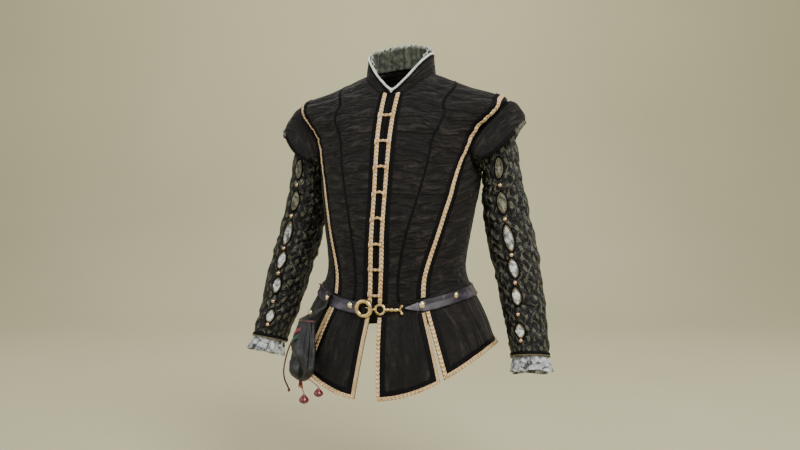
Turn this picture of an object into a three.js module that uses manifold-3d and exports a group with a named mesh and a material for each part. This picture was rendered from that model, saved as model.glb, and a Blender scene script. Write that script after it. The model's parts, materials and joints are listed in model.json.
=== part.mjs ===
// A late sixteenth century doublet, filled out as if worn, with its belt and belt pouch.
// Millimetres, +Z up. The wearer faces -Y, so the wearer's left is +X. The origin is the
// middle of the neck base, level with the shoulder seams' inner ends.
import * as THREE from "three";
import { mergeVertices } from "three/addons/utils/BufferGeometryUtils.js";
import Module from "manifold-3d";

const wasm = await Module();
wasm.setup();

const rad = THREE.MathUtils.degToRad;

// ---------------------------------------------------------------- driving dimensions

const SEAM_GAP = 0.4; // between two pieces at a seam
const LIFT = 0.55; // between a panel and what is sewn on it
const WALL = { body: 3, tab: 2.6, collar: 2.6, wing: 3.6, sleeve: 1.8, ruffle: 1.1, trim: 1.1 };
const PADDING = 1.8; // how far a padded panel swells between its seams
const FRONT_PADDING = 2;
const BACK_PADDING = 1.5;
const GUARD_HALF = 13; // half the width of the satin guard along the front seams
const BRAID_HALF = 4.2; // half the width of the gold braid
const PLACKET_WIDTH = 25; // one side of the satin placket
const BELT_HALF = 12.5; // half the width of the belt
const BELT_THICK = 3;
const CLASPS = 8;
const COLLAR_PLEATS = 22;
const CUFF_PLEATS = 13;

// A table: the first list names the columns, each later list is a row.
function table(columns, ...rows) {
  return rows.map((row) => Object.fromEntries(columns.map((name, i) => [name, row[i]])));
}

// Horizontal sections of the body, from the belt line to the neck. A section dips or rises
// from front to side to back, so each has three heights and three depths.
const BODY = table(
  ["zFront", "zSide", "zBack", "halfWidth", "yFront", "ySide", "yBack", "power", "powerBack"],
  [-447, -418, -412, 150, -136, -18, 92, 2.15, 2.15], // belt line
  [-392, -378, -372, 137, -131, -18, 88, 2.15, 2.15], // waist
  [-312, -302, -296, 146, -126, -12, 98, 2.2, 2.2], // ribs
  [-232, -232, -226, 158, -111, -2, 110, 2.3, 2.3], // chest
  [-176, -186, -160, 164, -101, 4, 116, 2.35, 2.3], // underarm
  [-132, -116, -102, 176, -91, 5, 110, 2.2, 2.1], // armhole
  [-100, -58, -62, 216, -80, 5, 98, 1.9, 1.55], // shoulder tip
  [-70, -27, -18, 138, -65, 6, 84, 2.05, 1.85], // middle of the shoulder
  [-42, 0, 12, 70, -47, 6, 64, 2.1, 2.1], // neck
);
const SHOULDER_TIP = 6;
const NECK = 8;

// Seams, as turn from the front centre in degrees and level in the table above.
const PRINCESS_SEAM = table(
  ["turn", "level"],
  [16.5, 0], [16.5, 1], [20, 2], [24.8, 3], [28, 4], [30, 5], [32, 6], [44, 6.8], [90, 7.35],
);
const GUARD_SEAM = table(
  ["turn", "level"],
  [34, 0], [38.3, 1], [46.5, 2], [52.1, 3], [60.7, 4], [67, 4.5],
);
const ARMHOLE_FRONT = table(
  ["turn", "level"],
  [67, 4.5], [74, 5], [75.7, 5.5], [77.3, 5.77], [90, SHOULDER_TIP],
);
const ARMHOLE_UNDER = table(["turn", "level"], [67, 4.5], [75, 4.08], [90, 3.88], [105, 4.08], [113, 4.5]);
const ARMHOLE = [...ARMHOLE_FRONT].reverse().concat(ARMHOLE_UNDER.slice(1, 3));

// The hem that the skirt tabs reach, in the columns of the body's table.
const [HEM] = table(
  ["zFront", "zSide", "zBack", "halfWidth", "yFront", "ySide", "yBack", "power", "powerBack"],
  [-609, -524, -518, 199, -187, -22, 128, 2.1, 2.1],
);
const SKIRT_SPRING = 5; // how far the tabs bow outwards halfway down

// Skirt tabs: where each one starts and ends, as turns at the belt and at the hem.
const TABS = table(
  ["name", "beltFrom", "beltTo", "hemFrom", "hemTo", "columns"],
  ["front_left", 1.8, 34.5, 5.4, 40.6, 5],
  ["side_left", 34.5, 147, 42.8, 142, 12],
  ["back", 147, 213, 146, 214, 7],
  ["side_right", 213, 325.5, 218, 317.2, 12],
  ["front_right", 325.5, 358.2, 319.4, 354.6, 5],
);

// Sections of the left sleeve, each an ellipse between an outer and an inner point.
const SLEEVE = table(
  ["xOuter", "zOuter", "xInner", "zInner", "y", "halfDepth"],
  [193, -78, 160, -164, 6, 28], // head, inside the armhole
  [216, -95, 167, -180, 7.5, 32], // cap, under the wing
  [230, -127, 169, -196, 9.5, 38.5],
  [237, -170, 167, -222, 13, 45],
  [247, -226, 167, -258, 14, 47], // biceps
  [263, -292, 176, -308, 9, 47],
  [277, -350, 188, -356, 3, 46], // elbow
  [288, -400, 202, -404, -6, 44],
  [296, -452, 215, -457, -17, 41],
  [303, -498, 229, -504, -30, 38],
  [307, -534, 239, -541, -41, 35], // wrist
);
const WRIST = 10;
const HEAD_ROWS = 3; // how far down the table the sleeve still takes the armhole's shape
const SLEEVE_FRONT_SEAM = 150; // turns round the arm: 0 outside, 90 in front
const SLEEVE_BACK_SEAM = -62;

// The row of slashes down the front of the left sleeve.
const SLASHES = table(
  ["z", "turn", "halfLength"],
  [-187, 80, 20], [-250, 80, 20], [-318, 82, 25], [-372, 87, 18], [-424, 92, 16], [-486, 98, 13],
);
const SLASH_HALF_WIDTH = 8;
const PUFF = { share: 0.8, depth: -3, thick: 1.1, rise: 4, halfTurn: 18, above: 0.55, below: 0.4 };

const COLLAR = table(
  ["turn", "height", "lean"],
  [0, 5, 0], [20, 19, -1], [45, 31, -2.5], [70, 34, -3.5], [90, 36, -4], [135, 40, -3], [180, 42, -2],
);
const RUFFLE = { from: 36, low: 6, over: 14, inside: 7, wave: 2.4 };

// The outer edge of the left shoulder wing, from the shoulder tip to its front end.
const WING_EDGE = table(
  ["share", "x", "y", "z"],
  [0, 250, 2, -98],
  [0.25, 247, -18, -107],
  [0.5, 236, -34, -125],
  [0.75, 217, -46, -147],
  [0.9, 197, -50, -163],
  [1, 178, -50, -172],
);
// How far the wing arches, how much narrower it is behind, where its inner edge lies from the
// armhole's edge, and how far round the arm each end reaches, in degrees.
const WING = { puff: 8.6, narrowerBehind: 14, inFromSeam: 0.9, frontLift: 3, backLift: 5.5 };
const WING_REACH = { front: 132, back: 112 };

const CUFF = { ruffleIn: 6, ruffleOut: 28, ruffleRadius: 41, wave: 3.4, tuckedIn: 5.5 };

const RUNG = { topZ: -86, pitch: 48.3, height: 7, thick: 2 };
const BELT = { clear: 1.3, tipTurn: 20.6, tipLength: 14, endTurn: 350 };
// The clasp hangs in front of the belt line; `stand` is how far its middle lies from the body.
const RING = { x: -19, radius: 14.8, wire: 3.1, stand: 10 };
const HOOK = { x: 14, radius: 8.8, wire: 2.3, barEnd: 52.6, dip: 8, barRadius: 2.7, beakRadius: 1.6 };
const KNOPS = table(
  ["fromBarEnd", "back", "up", "radius"],
  [1, HOOK.dip, 4, 3.2], [1, HOOK.dip, -4, 3.2], [3.5, HOOK.dip, 0, 3.2], [-17, 0.35 * HOOK.dip, 0, 3.8],
);
const STUD_TURNS = [33, 63.5, 342.5, 288];
const STUD = { radius: 5, gap: 0.35 };
const STUD_DOME = table(["up", "share"], [0, 1], [1.4, 0.9], [2.9, 0.55], [3.6, 0.15]);

// The free end of the pouch's drawstring, from the side of the pouch down to its tip.
const DRAWSTRING = { radius: 1.5, sides: 8, steps: 18 };
const DRAWSTRING_ROUTE = table(
  ["x", "y", "z"],
  [-157.5, -148, -506],
  [-165, -147, -513],
  [-172, -147, -526],
  [-178, -148, -543],
  [-182, -149, -560],
  [-183.5, -151, -577],
  [-180, -152, -594],
  [-172, -152, -609],
);
const HANGER = { turn: 320, half: 8, thick: 2, gap: 2.2, endsAbove: 0.35 };
// Sections of the pouch down its middle line.
const POUCH = table(
  ["x", "y", "z", "halfWidth", "halfDepth"],
  [-131, -151, -468, 12, 6],
  [-131.5, -154, -474, 20, 10],
  [-132, -157, -483, 21, 11],
  [-132, -161, -498, 26, 14.5],
  [-132, -167, -518, 30.5, 17],
  [-132, -172, -540, 32.5, 18],
  [-132, -176, -560, 31.5, 18],
  [-132, -177, -573, 26, 15.5],
  [-132, -177, -581, 15, 9],
  [-132, -177, -585, 5, 3],
);
const POUCH_FACE = new THREE.Vector3(-0.5, -0.87, 0).normalize();

// ---------------------------------------------------------------- small tools

const lerp = THREE.MathUtils.lerp;
const vec = (x, y, z) => new THREE.Vector3(x, y, z);
const range = (count) => Array.from({ length: count }, (_, i) => i);
const steps = (count) => range(count + 1).map((i) => i / count);

// The row of a table at a fractional place, on a smooth curve through its rows.
function rowAt(rows, place) {
  const last = rows.length - 1;
  const k = Math.min(Math.max(Math.floor(place), 0), last - 1);
  const f = place - k;
  const made = {};
  for (const name of Object.keys(rows[0])) {
    const [a, b, c, d] = [k - 1, k, k + 1, k + 2].map((i) => rows[Math.min(Math.max(i, 0), last)][name]);
    made[name] = b + 0.5 * f * (c - a + f * (2 * a - 5 * b + 4 * c - d + f * (3 * (b - c) + d - a)));
  }
  return made;
}

// The row of a table whose first column has the given value.
function rowWhere(rows, value) {
  const name = Object.keys(rows[0])[0];
  let k = 0;
  while (k < rows.length - 2 && rows[k + 1][name] <= value) k += 1;
  return rowAt(rows, k + (value - rows[k][name]) / (rows[k + 1][name] - rows[k][name]));
}

// A point of a body section at a turn from the front centre, in degrees, up to 360.
function onSection(section, turn) {
  const a = rad(turn);
  const across = Math.sin(a);
  const along = Math.cos(a);
  const bend = 2 / (along > 0 ? section.power : section.powerBack);
  const round = (v) => Math.sign(v) * Math.abs(v) ** bend;
  const [yEnd, zEnd] = along > 0 ? [section.yFront, section.zFront] : [section.yBack, section.zBack];
  return vec(
    section.halfWidth * round(across),
    section.ySide + (yEnd - section.ySide) * Math.abs(round(along)),
    section.zSide + (zEnd - section.zSide) * along * along,
  );
}

const onBody = (turn, level) => onSection(rowAt(BODY, level), turn);

function onSkirt(turn, share) {
  const top = onSection(BODY[0], turn);
  const point = top.clone().lerp(onSection(HEM, turn), share);
  const out = vec(point.x, point.y + 20, 0).normalize();
  return point.addScaledVector(out, SKIRT_SPRING * Math.sin(Math.PI * share));
}

// The arm's middle line.
const armMiddle = (place) => {
  const s = rowAt(SLEEVE, place);
  return vec((s.xOuter + s.xInner) / 2, s.y, (s.zOuter + s.zInner) / 2);
};

// A point of the left sleeve: turn 0 is outside, 90 in front, 180 inside.
function onSleeve(turn, place) {
  const below = Math.max(place, 0.4);
  const s = rowAt(SLEEVE, below);
  const outwards = vec((s.xOuter - s.xInner) / 2, 0, (s.zOuter - s.zInner) / 2);
  const down = armMiddle(Math.min(below + 0.3, WRIST)).sub(armMiddle(Math.min(below, WRIST - 0.3) - 0.3));
  const forwards = down.cross(outwards).normalize();
  const a = rad(turn);
  const point = armMiddle(below)
    .addScaledVector(outwards, Math.cos(a))
    .addScaledVector(forwards, s.halfDepth * Math.sin(a));
  const held = Math.max(0, 1 - place / HEAD_ROWS) ** 1.3;
  return held > 0 ? point.lerp(sleeveHead(turn), held) : point;
}

// The outward unit normal of surface(u, v), whose u runs to the left round the wearer's left side.
function normalOf(surface, u, v, du = 0.5, dv = 0.02) {
  const across = surface(u + du, v).sub(surface(u - du, v));
  const up = surface(u, v + dv).sub(surface(u, v - dv));
  return across.cross(up).normalize();
}

// A grid of surface points with their normals. at(u, v, i, j) may move a point along its normal.
function gridOn(surface, places, swell = () => 0, flip = 1) {
  return places.map((row, i) =>
    row.map(([u, v], j) => {
      const n = normalOf(surface, u, v).multiplyScalar(flip);
      return { p: surface(u, v).addScaledVector(n, swell(i, j)), n };
    }),
  );
}

// Moves the edges of a grid inwards, so that neighbouring pieces stand apart.
function inset(grid, gap = SEAM_GAP / 2) {
  const towards = (from, to) => {
    const step = to.p.clone().sub(from.p);
    return { p: from.p.clone().addScaledVector(step.normalize(), gap), n: from.n };
  };
  const across = grid.map((row) => {
    const end = row.length - 1;
    return row.map((q, j) => (j === 0 ? towards(q, row[1]) : j === end ? towards(q, row[end - 1]) : q));
  });
  const end = grid.length - 1;
  return across.map((row, i) =>
    row.map((q, j) =>
      i === 0 ? towards(q, across[1][j]) : i === end ? towards(q, across[end - 1][j]) : q,
    ),
  );
}

// A geometry from points and faces, turned so that its faces look outwards.
function shape(points, faces) {
  let sixVolumes = 0;
  for (let i = 0; i < faces.length; i += 3) {
    const [a, b, c] = faces.slice(i, i + 3).map((k) => points[k]);
    sixVolumes += a.dot(b.clone().cross(c));
  }
  const index = sixVolumes < 0 ? [...faces].reverse() : faces;
  const geometry = new THREE.BufferGeometry();
  geometry.setAttribute("position", new THREE.Float32BufferAttribute(points.flatMap((p) => p.toArray()), 3));
  geometry.setIndex(index);
  return geometry;
}

// A closed solid from two layers of points, outer and inner, of equal rows and columns.
function solidOf(outer, inner, ring = false) {
  const rows = outer.length;
  const columns = outer[0].length;
  const points = [...outer.flat(), ...inner.flat()];
  const at = (layer, i, j) => layer * rows * columns + i * columns + (j % columns);
  const faces = [];
  const quad = (a, b, c, d) => faces.push(a, b, c, a, c, d);
  const last = ring ? columns : columns - 1;
  for (let i = 0; i < rows - 1; i++)
    for (let j = 0; j < last; j++) {
      quad(at(0, i, j), at(0, i, j + 1), at(0, i + 1, j + 1), at(0, i + 1, j));
      quad(at(1, i, j), at(1, i + 1, j), at(1, i + 1, j + 1), at(1, i, j + 1));
    }
  // Both ends of a grid are split along the same diagonal, so that neighbours' edges match.
  const [top, right] = [rows - 1, columns - 1];
  for (let j = 0; j < last; j++) {
    quad(at(0, 0, j), at(1, 0, j), at(1, 0, j + 1), at(0, 0, j + 1));
    quad(at(0, top, j), at(0, top, j + 1), at(1, top, j + 1), at(1, top, j));
  }
  if (!ring)
    for (let i = 0; i < rows - 1; i++) {
      quad(at(0, i, 0), at(0, i + 1, 0), at(1, i + 1, 0), at(1, i, 0));
      quad(at(0, i, right), at(1, i, right), at(1, i + 1, right), at(0, i + 1, right));
    }
  return shape(points, faces);
}

// A wall of cloth: the grid is its outer face, and its inner face lies `thick` below.
function wall(grid, thick, { lift = 0, ring = false } = {}) {
  const outer = grid.map((row) => row.map(({ p, n }) => p.clone().addScaledVector(n, lift)));
  const inner = grid.map((row) => row.map(({ p, n }) => p.clone().addScaledVector(n, lift - thick)));
  return solidOf(outer, inner, ring);
}

// A grid's plain inner face keeps its own grid, so that only the outer face is raised.
function raisedWall(raised, plain, thick) {
  const outer = raised.map((row) => row.map(({ p }) => p.clone()));
  const inner = plain.map((row) => row.map(({ p, n }) => p.clone().addScaledVector(n, -thick)));
  return solidOf(outer, inner);
}

function toManifold(geometry) {
  const bare = geometry.clone();
  bare.deleteAttribute("normal");
  bare.deleteAttribute("uv");
  const merged = mergeVertices(bare, 1e-4);
  return new wasm.Manifold(
    new wasm.Mesh({
      numProp: 3,
      vertProperties: new Float32Array(merged.attributes.position.array),
      triVerts: new Uint32Array(merged.index.array),
    }),
  );
}

function fromManifold(solid) {
  const mesh = solid.getMesh();
  const points = range(mesh.numVert).flatMap((i) => {
    const first = i * mesh.numProp;
    return [...mesh.vertProperties.subarray(first, first + 3)];
  });
  const geometry = new THREE.BufferGeometry();
  geometry.setAttribute("position", new THREE.Float32BufferAttribute(points, 3));
  geometry.setIndex([...mesh.triVerts]);
  return geometry;
}

// The same piece for the wearer's right side.
function mirrored(geometry) {
  const made = geometry.clone();
  const position = made.getAttribute("position");
  for (let i = 0; i < position.count; i++) position.setX(i, -position.getX(i));
  const index = [...made.index.array];
  for (let i = 0; i < index.length; i += 3) [index[i + 1], index[i + 2]] = [index[i + 2], index[i + 1]];
  made.setIndex(index);
  return made;
}

// Points evenly spaced along a seam, by their real distances on the surface.
function alongSeam(rows, count, surface = onBody) {
  const fine = steps(80).map((t) => rowAt(rows, t * (rows.length - 1)));
  const reach = [0];
  for (let i = 1; i < fine.length; i++) {
    const a = surface(fine[i - 1].turn, fine[i - 1].level);
    reach.push(reach[i - 1] + a.distanceTo(surface(fine[i].turn, fine[i].level)));
  }
  return steps(count).map((t) => {
    const wanted = t * reach.at(-1);
    let k = 1;
    while (k < reach.length - 1 && reach[k] < wanted) k += 1;
    const f = (wanted - reach[k - 1]) / (reach[k] - reach[k - 1]);
    return [lerp(fine[k - 1].turn, fine[k].turn, f), lerp(fine[k - 1].level, fine[k].level, f)];
  });
}

// Fills in a panel between its four edges, given as lists of places. Its side edges rule the
// rows, and the bend of its bottom and top edges dies out quickly towards the middle.
function fillPanel(left, right, bottom, top) {
  const mix = (a, b, f) => [lerp(a[0], b[0], f), lerp(a[1], b[1], f)];
  return left.map((_, i) => {
    const t = i / (left.length - 1);
    return bottom.map((_, j) => {
      const s = j / (bottom.length - 1);
      const ruled = mix(left[i], right[i], s);
      const low = mix(bottom[0], bottom.at(-1), s);
      const high = mix(top[0], top.at(-1), s);
      return [0, 1].map(
        (k) => ruled[k] + (bottom[j][k] - low[k]) * (1 - t) ** 4 + (top[j][k] - high[k]) * t ** 4,
      );
    });
  });
}

const between = (a, b, count) => steps(count).map((t) => [lerp(a[0], b[0], t), lerp(a[1], b[1], t)]);

// The point of a grid row at a distance from its first or last point, along the row.
function walkRow(row, distance, fromEnd = false) {
  const list = fromEnd ? [...row].reverse() : row;
  let left = distance;
  for (let k = 1; k < list.length; k++) {
    const step = list[k - 1].p.distanceTo(list[k].p);
    if (left <= step || k === list.length - 1) {
      const f = left / step;
      return {
        p: list[k - 1].p.clone().lerp(list[k].p, f),
        n: list[k - 1].n.clone().lerp(list[k].n, f).normalize(),
      };
    }
    left -= step;
  }
}

// ---------------------------------------------------------------- materials

const finishOf = (color, roughness = 0.8, metalness = 0) => ({ color, roughness, metalness });
const finishes = {
  cloth: finishOf(0x2a2524),
  satin: finishOf(0x0b0a0c),
  gold: finishOf(0xc9a46c),
  brass: finishOf(0xd9b566, 0.35, 1),
  white: finishOf(0xd8d8d2),
  sleeve: finishOf(0x23241f),
  leather: finishOf(0x2c2833),
  pouch: finishOf(0x33343a),
  red: finishOf(0x7a1520),
};

const doublet = new THREE.Group();

function add(name, geometry, finish) {
  const mesh = new THREE.Mesh(geometry, new THREE.MeshStandardMaterial(finishes[finish]));
  mesh.name = name;
  doublet.add(mesh);
}

function addPair(name, geometry, finish) {
  add(`${name}_left`, geometry, finish);
  add(`${name}_right`, mirrored(geometry), finish);
}

// ---------------------------------------------------------------- body panels

const ROWS_TO_NOTCH = 10;
const ROWS_OF_ARMHOLE = 7;
const ROWS = ROWS_TO_NOTCH + ROWS_OF_ARMHOLE;
const INNER_COLUMNS = 6;
const OUTER_COLUMNS = 5;
const BACK_COLUMNS = 8;
const SIDE_COLUMNS = 7;

const centreFront = steps(ROWS).map((t) => [0, t * NECK]);
const princess = alongSeam(PRINCESS_SEAM, ROWS);
const guardSeam = alongSeam(GUARD_SEAM, ROWS_TO_NOTCH);
const armholeFront = alongSeam(ARMHOLE_FRONT, ROWS_OF_ARMHOLE);
const frontEdge = [...guardSeam, ...armholeFront.slice(1)];
const toBack = (places) => places.map(([turn, level]) => [180 - turn, level]);
const centreBack = steps(ROWS).map((t) => [180, t * NECK]);

// A padded panel swells between its seams, and lies flat at its waist and at its top.
function padded(columns, amount = PADDING) {
  return (i, j) => amount * Math.sin((Math.PI * j) / columns) * Math.sqrt(Math.sin((Math.PI * i) / ROWS));
}

function bodyPanel(places, amount = PADDING) {
  const flat = inset(gridOn(onBody, places));
  const swollen = inset(gridOn(onBody, places, padded(places[0].length - 1, amount)));
  return { flat, swollen, geometry: raisedWall(swollen, flat, WALL.body) };
}

const neckTop = (from, to, count) => between([from, NECK], [to, NECK], count);
const innerTop = [...neckTop(0, 90, 5), [90, PRINCESS_SEAM.at(-1).level]];
const innerBottom = between([0, 0], princess[0], INNER_COLUMNS);
const frontInner = bodyPanel(fillPanel(centreFront, princess, innerBottom, innerTop), FRONT_PADDING);
const outerBottom = between(princess[0], frontEdge[0], OUTER_COLUMNS);
const outerTop = between(princess.at(-1), frontEdge.at(-1), OUTER_COLUMNS);
const frontOuter = bodyPanel(fillPanel(princess, frontEdge, outerBottom, outerTop));
const backTop = [...neckTop(180, 90, 5), ...between([90, NECK], [90, SHOULDER_TIP], 3).slice(1)];
const backBottom = between([180, 0], toBack(frontEdge)[0], BACK_COLUMNS);
const backPlaces = fillPanel(centreBack, toBack(frontEdge), backBottom, backTop);
const back = bodyPanel(backPlaces.map((row) => [...row].reverse()), BACK_PADDING);
const side = bodyPanel(
  fillPanel(
    guardSeam,
    toBack(guardSeam),
    between(guardSeam[0], toBack(guardSeam)[0], SIDE_COLUMNS),
    alongSeam(ARMHOLE_UNDER, SIDE_COLUMNS),
  ),
  BACK_PADDING,
);

addPair("front_inner", frontInner.geometry, "cloth");
addPair("front_outer", frontOuter.geometry, "cloth");
addPair("side", side.geometry, "cloth");
addPair("back", back.geometry, "cloth");

// ---------------------------------------------------------------- trims of the front

const rowOf = (grid, place) => {
  const k = Math.min(Math.floor(place), grid.length - 2);
  const f = place - k;
  return grid[k].map((q, j) => ({
    p: q.p.clone().lerp(grid[k + 1][j].p, f),
    n: q.n.clone().lerp(grid[k + 1][j].n, f).normalize(),
  }));
};
const mirror = ({ p, n }) => ({ p: vec(-p.x, p.y, p.z), n: vec(-n.x, n.y, n.z) });

const ABOVE_BELT = 0.42;
const trimRows = [ABOVE_BELT, ...range(ROWS).map((i) => i + 1)];
const GUARD_LIFT = LIFT;
const BRAID_LIFT = GUARD_LIFT + WALL.trim + LIFT;
const CLASP_LIFT = BRAID_LIFT + WALL.trim + LIFT;

// A point of the front at a distance from the centre front line, along its row.
function onFront(distance, place) {
  const found = walkRow(rowOf(frontInner.swollen, place), Math.abs(distance));
  return distance < 0 ? mirror(found) : found;
}

// A point beside the guard's seam. Above the armhole notch the guard stays on the front panel.
function besideSeam(distance, place) {
  const shift = 15.5 * THREE.MathUtils.smoothstep(place, ROWS_TO_NOTCH - 3.5, ROWS_TO_NOTCH - 0.3);
  const from = distance - shift;
  if (from <= 0) return walkRow(rowOf(frontOuter.swollen, place), -from, true);
  return walkRow(rowOf(side.swollen, Math.min(place, ROWS_TO_NOTCH)), from);
}

// Over the tight bend of the shoulder the trims stand a little prouder.
const proud = (place) => 1.7 * THREE.MathUtils.smoothstep(place, ROWS - 7, ROWS - 3.5);
const ribbon = (find, offsets, lift, extra = () => 0) =>
  wall(
    trimRows.map((place) =>
      offsets(place).map((d) => {
        const { p, n } = find(d, place);
        return { p: p.clone().addScaledVector(n, extra(place)), n };
      }),
    ),
    WALL.trim,
    { lift: lift + WALL.trim },
  );
const braidMiddle = (place) => lerp(10, 13.5, place / ROWS);

addPair("placket_guard", ribbon(onFront, () => [0.6, 8, 17, PLACKET_WIDTH], GUARD_LIFT), "satin");
addPair(
  "placket_braid",
  ribbon(onFront, (place) => [-BRAID_HALF, BRAID_HALF].map((d) => braidMiddle(place) + d), BRAID_LIFT),
  "gold",
);
addPair("guard", ribbon(besideSeam, () => [-GUARD_HALF, -5, 5, GUARD_HALF], GUARD_LIFT, proud), "satin");
addPair("guard_braid", ribbon(besideSeam, () => [-BRAID_HALF, BRAID_HALF], BRAID_LIFT, proud), "gold");

const frontLine = frontInner.swollen.map((row) => row[0].p.z);
function rowAtHeight(z) {
  const k = frontLine.findIndex((height) => height > z) - 1;
  return k + (z - frontLine[k]) / (frontLine[k + 1] - frontLine[k]);
}
for (const k of range(CLASPS)) {
  const z = RUNG.topZ - RUNG.pitch * k;
  const places = [z - RUNG.height / 2, z + RUNG.height / 2].map(rowAtHeight);
  const half = braidMiddle(places[0]) + BRAID_HALF;
  const grid = places.map((place) => [-1, -0.5, -0.05, 0.05, 0.5, 1].map((s) => onFront(s * half, place)));
  add(`clasp_${k + 1}`, wall(grid, RUNG.thick, { lift: CLASP_LIFT + RUNG.thick }), "gold");
}

// ---------------------------------------------------------------- collar

const foldTurn = (turn) => (turn > 180 ? 360 - turn : turn);
const neckOut = (turn) => {
  const point = onBody(turn, NECK);
  return vec(point.x, point.y - 6, 0).normalize();
};
function onCollar(turn, share) {
  const c = rowWhere(COLLAR, foldTurn(turn));
  return onBody(turn, NECK)
    .addScaledVector(neckOut(turn), c.lean * share)
    .add(vec(0, 0, 1 + c.height * share));
}
const collarTurns = steps(32).map((t) => lerp(3, 357, t));
const collarGrid = gridOn(onCollar, steps(2).map((v) => collarTurns.map((turn) => [turn, v])));
add("collar", wall(collarGrid, WALL.collar), "cloth");

// A closed solid through sections that each have the same number of points.
function loft(sections) {
  const count = sections[0].length;
  const middle = (section) => section.reduce((sum, p) => sum.add(p), vec(0, 0, 0)).divideScalar(count);
  const points = [...sections.flat(), middle(sections[0]), middle(sections.at(-1))];
  const faces = [];
  for (let i = 0; i < sections.length - 1; i++)
    for (let j = 0; j < count; j++) {
      const [a, b] = [i * count + j, i * count + ((j + 1) % count)];
      faces.push(a, b, b + count, a, b + count, a + count);
    }
  const end = (sections.length - 1) * count;
  for (let j = 0; j < count; j++) {
    const next = (j + 1) % count;
    faces.push(points.length - 2, next, j);
    faces.push(points.length - 1, end + j, end + next);
  }
  return shape(points, faces);
}

// A round cord along a path; `out` gives a side direction at each station.
function cord(path, out, radius, sides = 6) {
  const sections = path.map((centre, i) => {
    const [before, after] = [path[Math.max(i - 1, 0)], path[Math.min(i + 1, path.length - 1)]];
    const along = after.clone().sub(before).normalize();
    const side = out(i).clone().addScaledVector(along, -out(i).dot(along)).normalize();
    const up = along.clone().cross(side);
    return range(sides).map((k) => {
      const a = (2 * Math.PI * k) / sides;
      const point = centre.clone().addScaledVector(side, radius * Math.cos(a));
      return point.addScaledVector(up, radius * Math.sin(a));
    });
  });
  return loft(sections);
}

const PIPING = 1.8;
const collarTop = collarTurns.map((turn) => onCollar(turn, 1));
const pipingPath = collarTop.map((point, i) => {
  const along = collarTop[Math.min(i + 1, 32)].clone().sub(collarTop[Math.max(i - 1, 0)]).normalize();
  const out = neckOut(collarTurns[i]);
  const up = out.clone().cross(along).normalize();
  const above = Math.sign(up.z) * (PIPING + 0.5);
  return point.clone().addScaledVector(up, above).addScaledVector(out, -WALL.collar / 2);
});
add("collar_piping", cord(pipingPath, (i) => neckOut(collarTurns[i]), PIPING, 5), "white");

function onNeckRuffle(turn, share) {
  const c = rowWhere(COLLAR, foldTurn(turn));
  const over = RUFFLE.over * THREE.MathUtils.smoothstep(foldTurn(turn), RUFFLE.from, 95);
  const phase = ((turn - RUFFLE.from) / (360 - 2 * RUFFLE.from)) * COLLAR_PLEATS * 2 * Math.PI;
  const wave = RUFFLE.wave * (0.45 + 0.55 * share) * Math.cos(phase);
  return onBody(turn, NECK)
    .addScaledVector(neckOut(turn), c.lean * share - RUFFLE.inside + wave)
    .add(vec(0, 0, lerp(RUFFLE.low, c.height + over, share)));
}
const ruffleTurns = steps(COLLAR_PLEATS * 4).map((t) => lerp(RUFFLE.from, 360 - RUFFLE.from, t));
add(
  "neck_ruffle",
  wall(gridOn(onNeckRuffle, steps(1).map((v) => ruffleTurns.map((turn) => [turn, v]))), WALL.ruffle),
  "white",
);

// ---------------------------------------------------------------- shoulder wings

const HOLE_MIDDLE = [90, 5];
const HOLE_STEPS = 36;
const loopPlaces = alongSeam(ARMHOLE, HOLE_STEPS);

// The armhole's edge with its normal, and the way across its opening, by turn round the arm:
// 0 at the shoulder tip, 90 in front, 180 below, 270 behind.
function armholeEdge(turn) {
  const full = ((turn % 360) + 360) % 360;
  const step = (foldTurn(full) / 180) * HOLE_STEPS;
  const k = Math.min(Math.floor(step), HOLE_STEPS - 1);
  const found = [0, 1].map((c) => lerp(loopPlaces[k][c], loopPlaces[k + 1][c], step - k));
  const place = full > 180 ? [180 - found[0], found[1]] : found;
  const inwards = [0, 1].map((c) => lerp(place[c], HOLE_MIDDLE[c], 0.03));
  const p = onBody(...place);
  return { p, n: normalOf(onBody, ...place), across: onBody(...inwards).sub(p).normalize() };
}

// `along` runs from -1 at the front end over the shoulder to 1 at the back end.
function onWing(along, share) {
  const { p, n, across } = armholeEdge(-along * (along > 0 ? WING_REACH.back : WING_REACH.front));
  const lift = along > 0 ? WING.backLift : WING.frontLift;
  const root = p.addScaledVector(across, WING.inFromSeam).addScaledVector(n, lift);
  const e = rowWhere(WING_EDGE, Math.abs(along));
  const behind = Math.max(0, along);
  const rim = vec(e.x - WING.narrowerBehind * Math.min(1, 3 * behind), along > 0 ? 10 - e.y : e.y, e.z);
  const out = rim.clone().sub(root).normalize();
  const up = vec(0, Math.sign(along) * 0.4 * Math.abs(along), 1);
  const rise = up.addScaledVector(out, -up.dot(out)).normalize();
  const arch = Math.sin(Math.PI * share) + 0.15 * Math.sin(3 * Math.PI * share);
  return root.lerp(rim, share).addScaledVector(rise, WING.puff * arch);
}
const wingPlaces = steps(4).map((v) => steps(12).map((t) => [lerp(-1, 1, t), v]));
const wingGrid = wingPlaces.map((row) =>
  row.map(([u, v]) => ({ p: onWing(u, v), n: normalOf(onWing, u, v, 0.01).multiplyScalar(-1) })),
);
addPair("wing", wall(wingGrid, WALL.wing), "cloth");

// ---------------------------------------------------------------- sleeves

function sleeveHead(turn) {
  const { p, n, across } = armholeEdge(turn);
  const under = THREE.MathUtils.smoothstep(Math.cos(rad(turn)), -0.5, -0.2);
  return p.addScaledVector(across, 1.8).addScaledVector(n, lerp(-1.5, -WALL.wing - 6.2, under));
}

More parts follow.
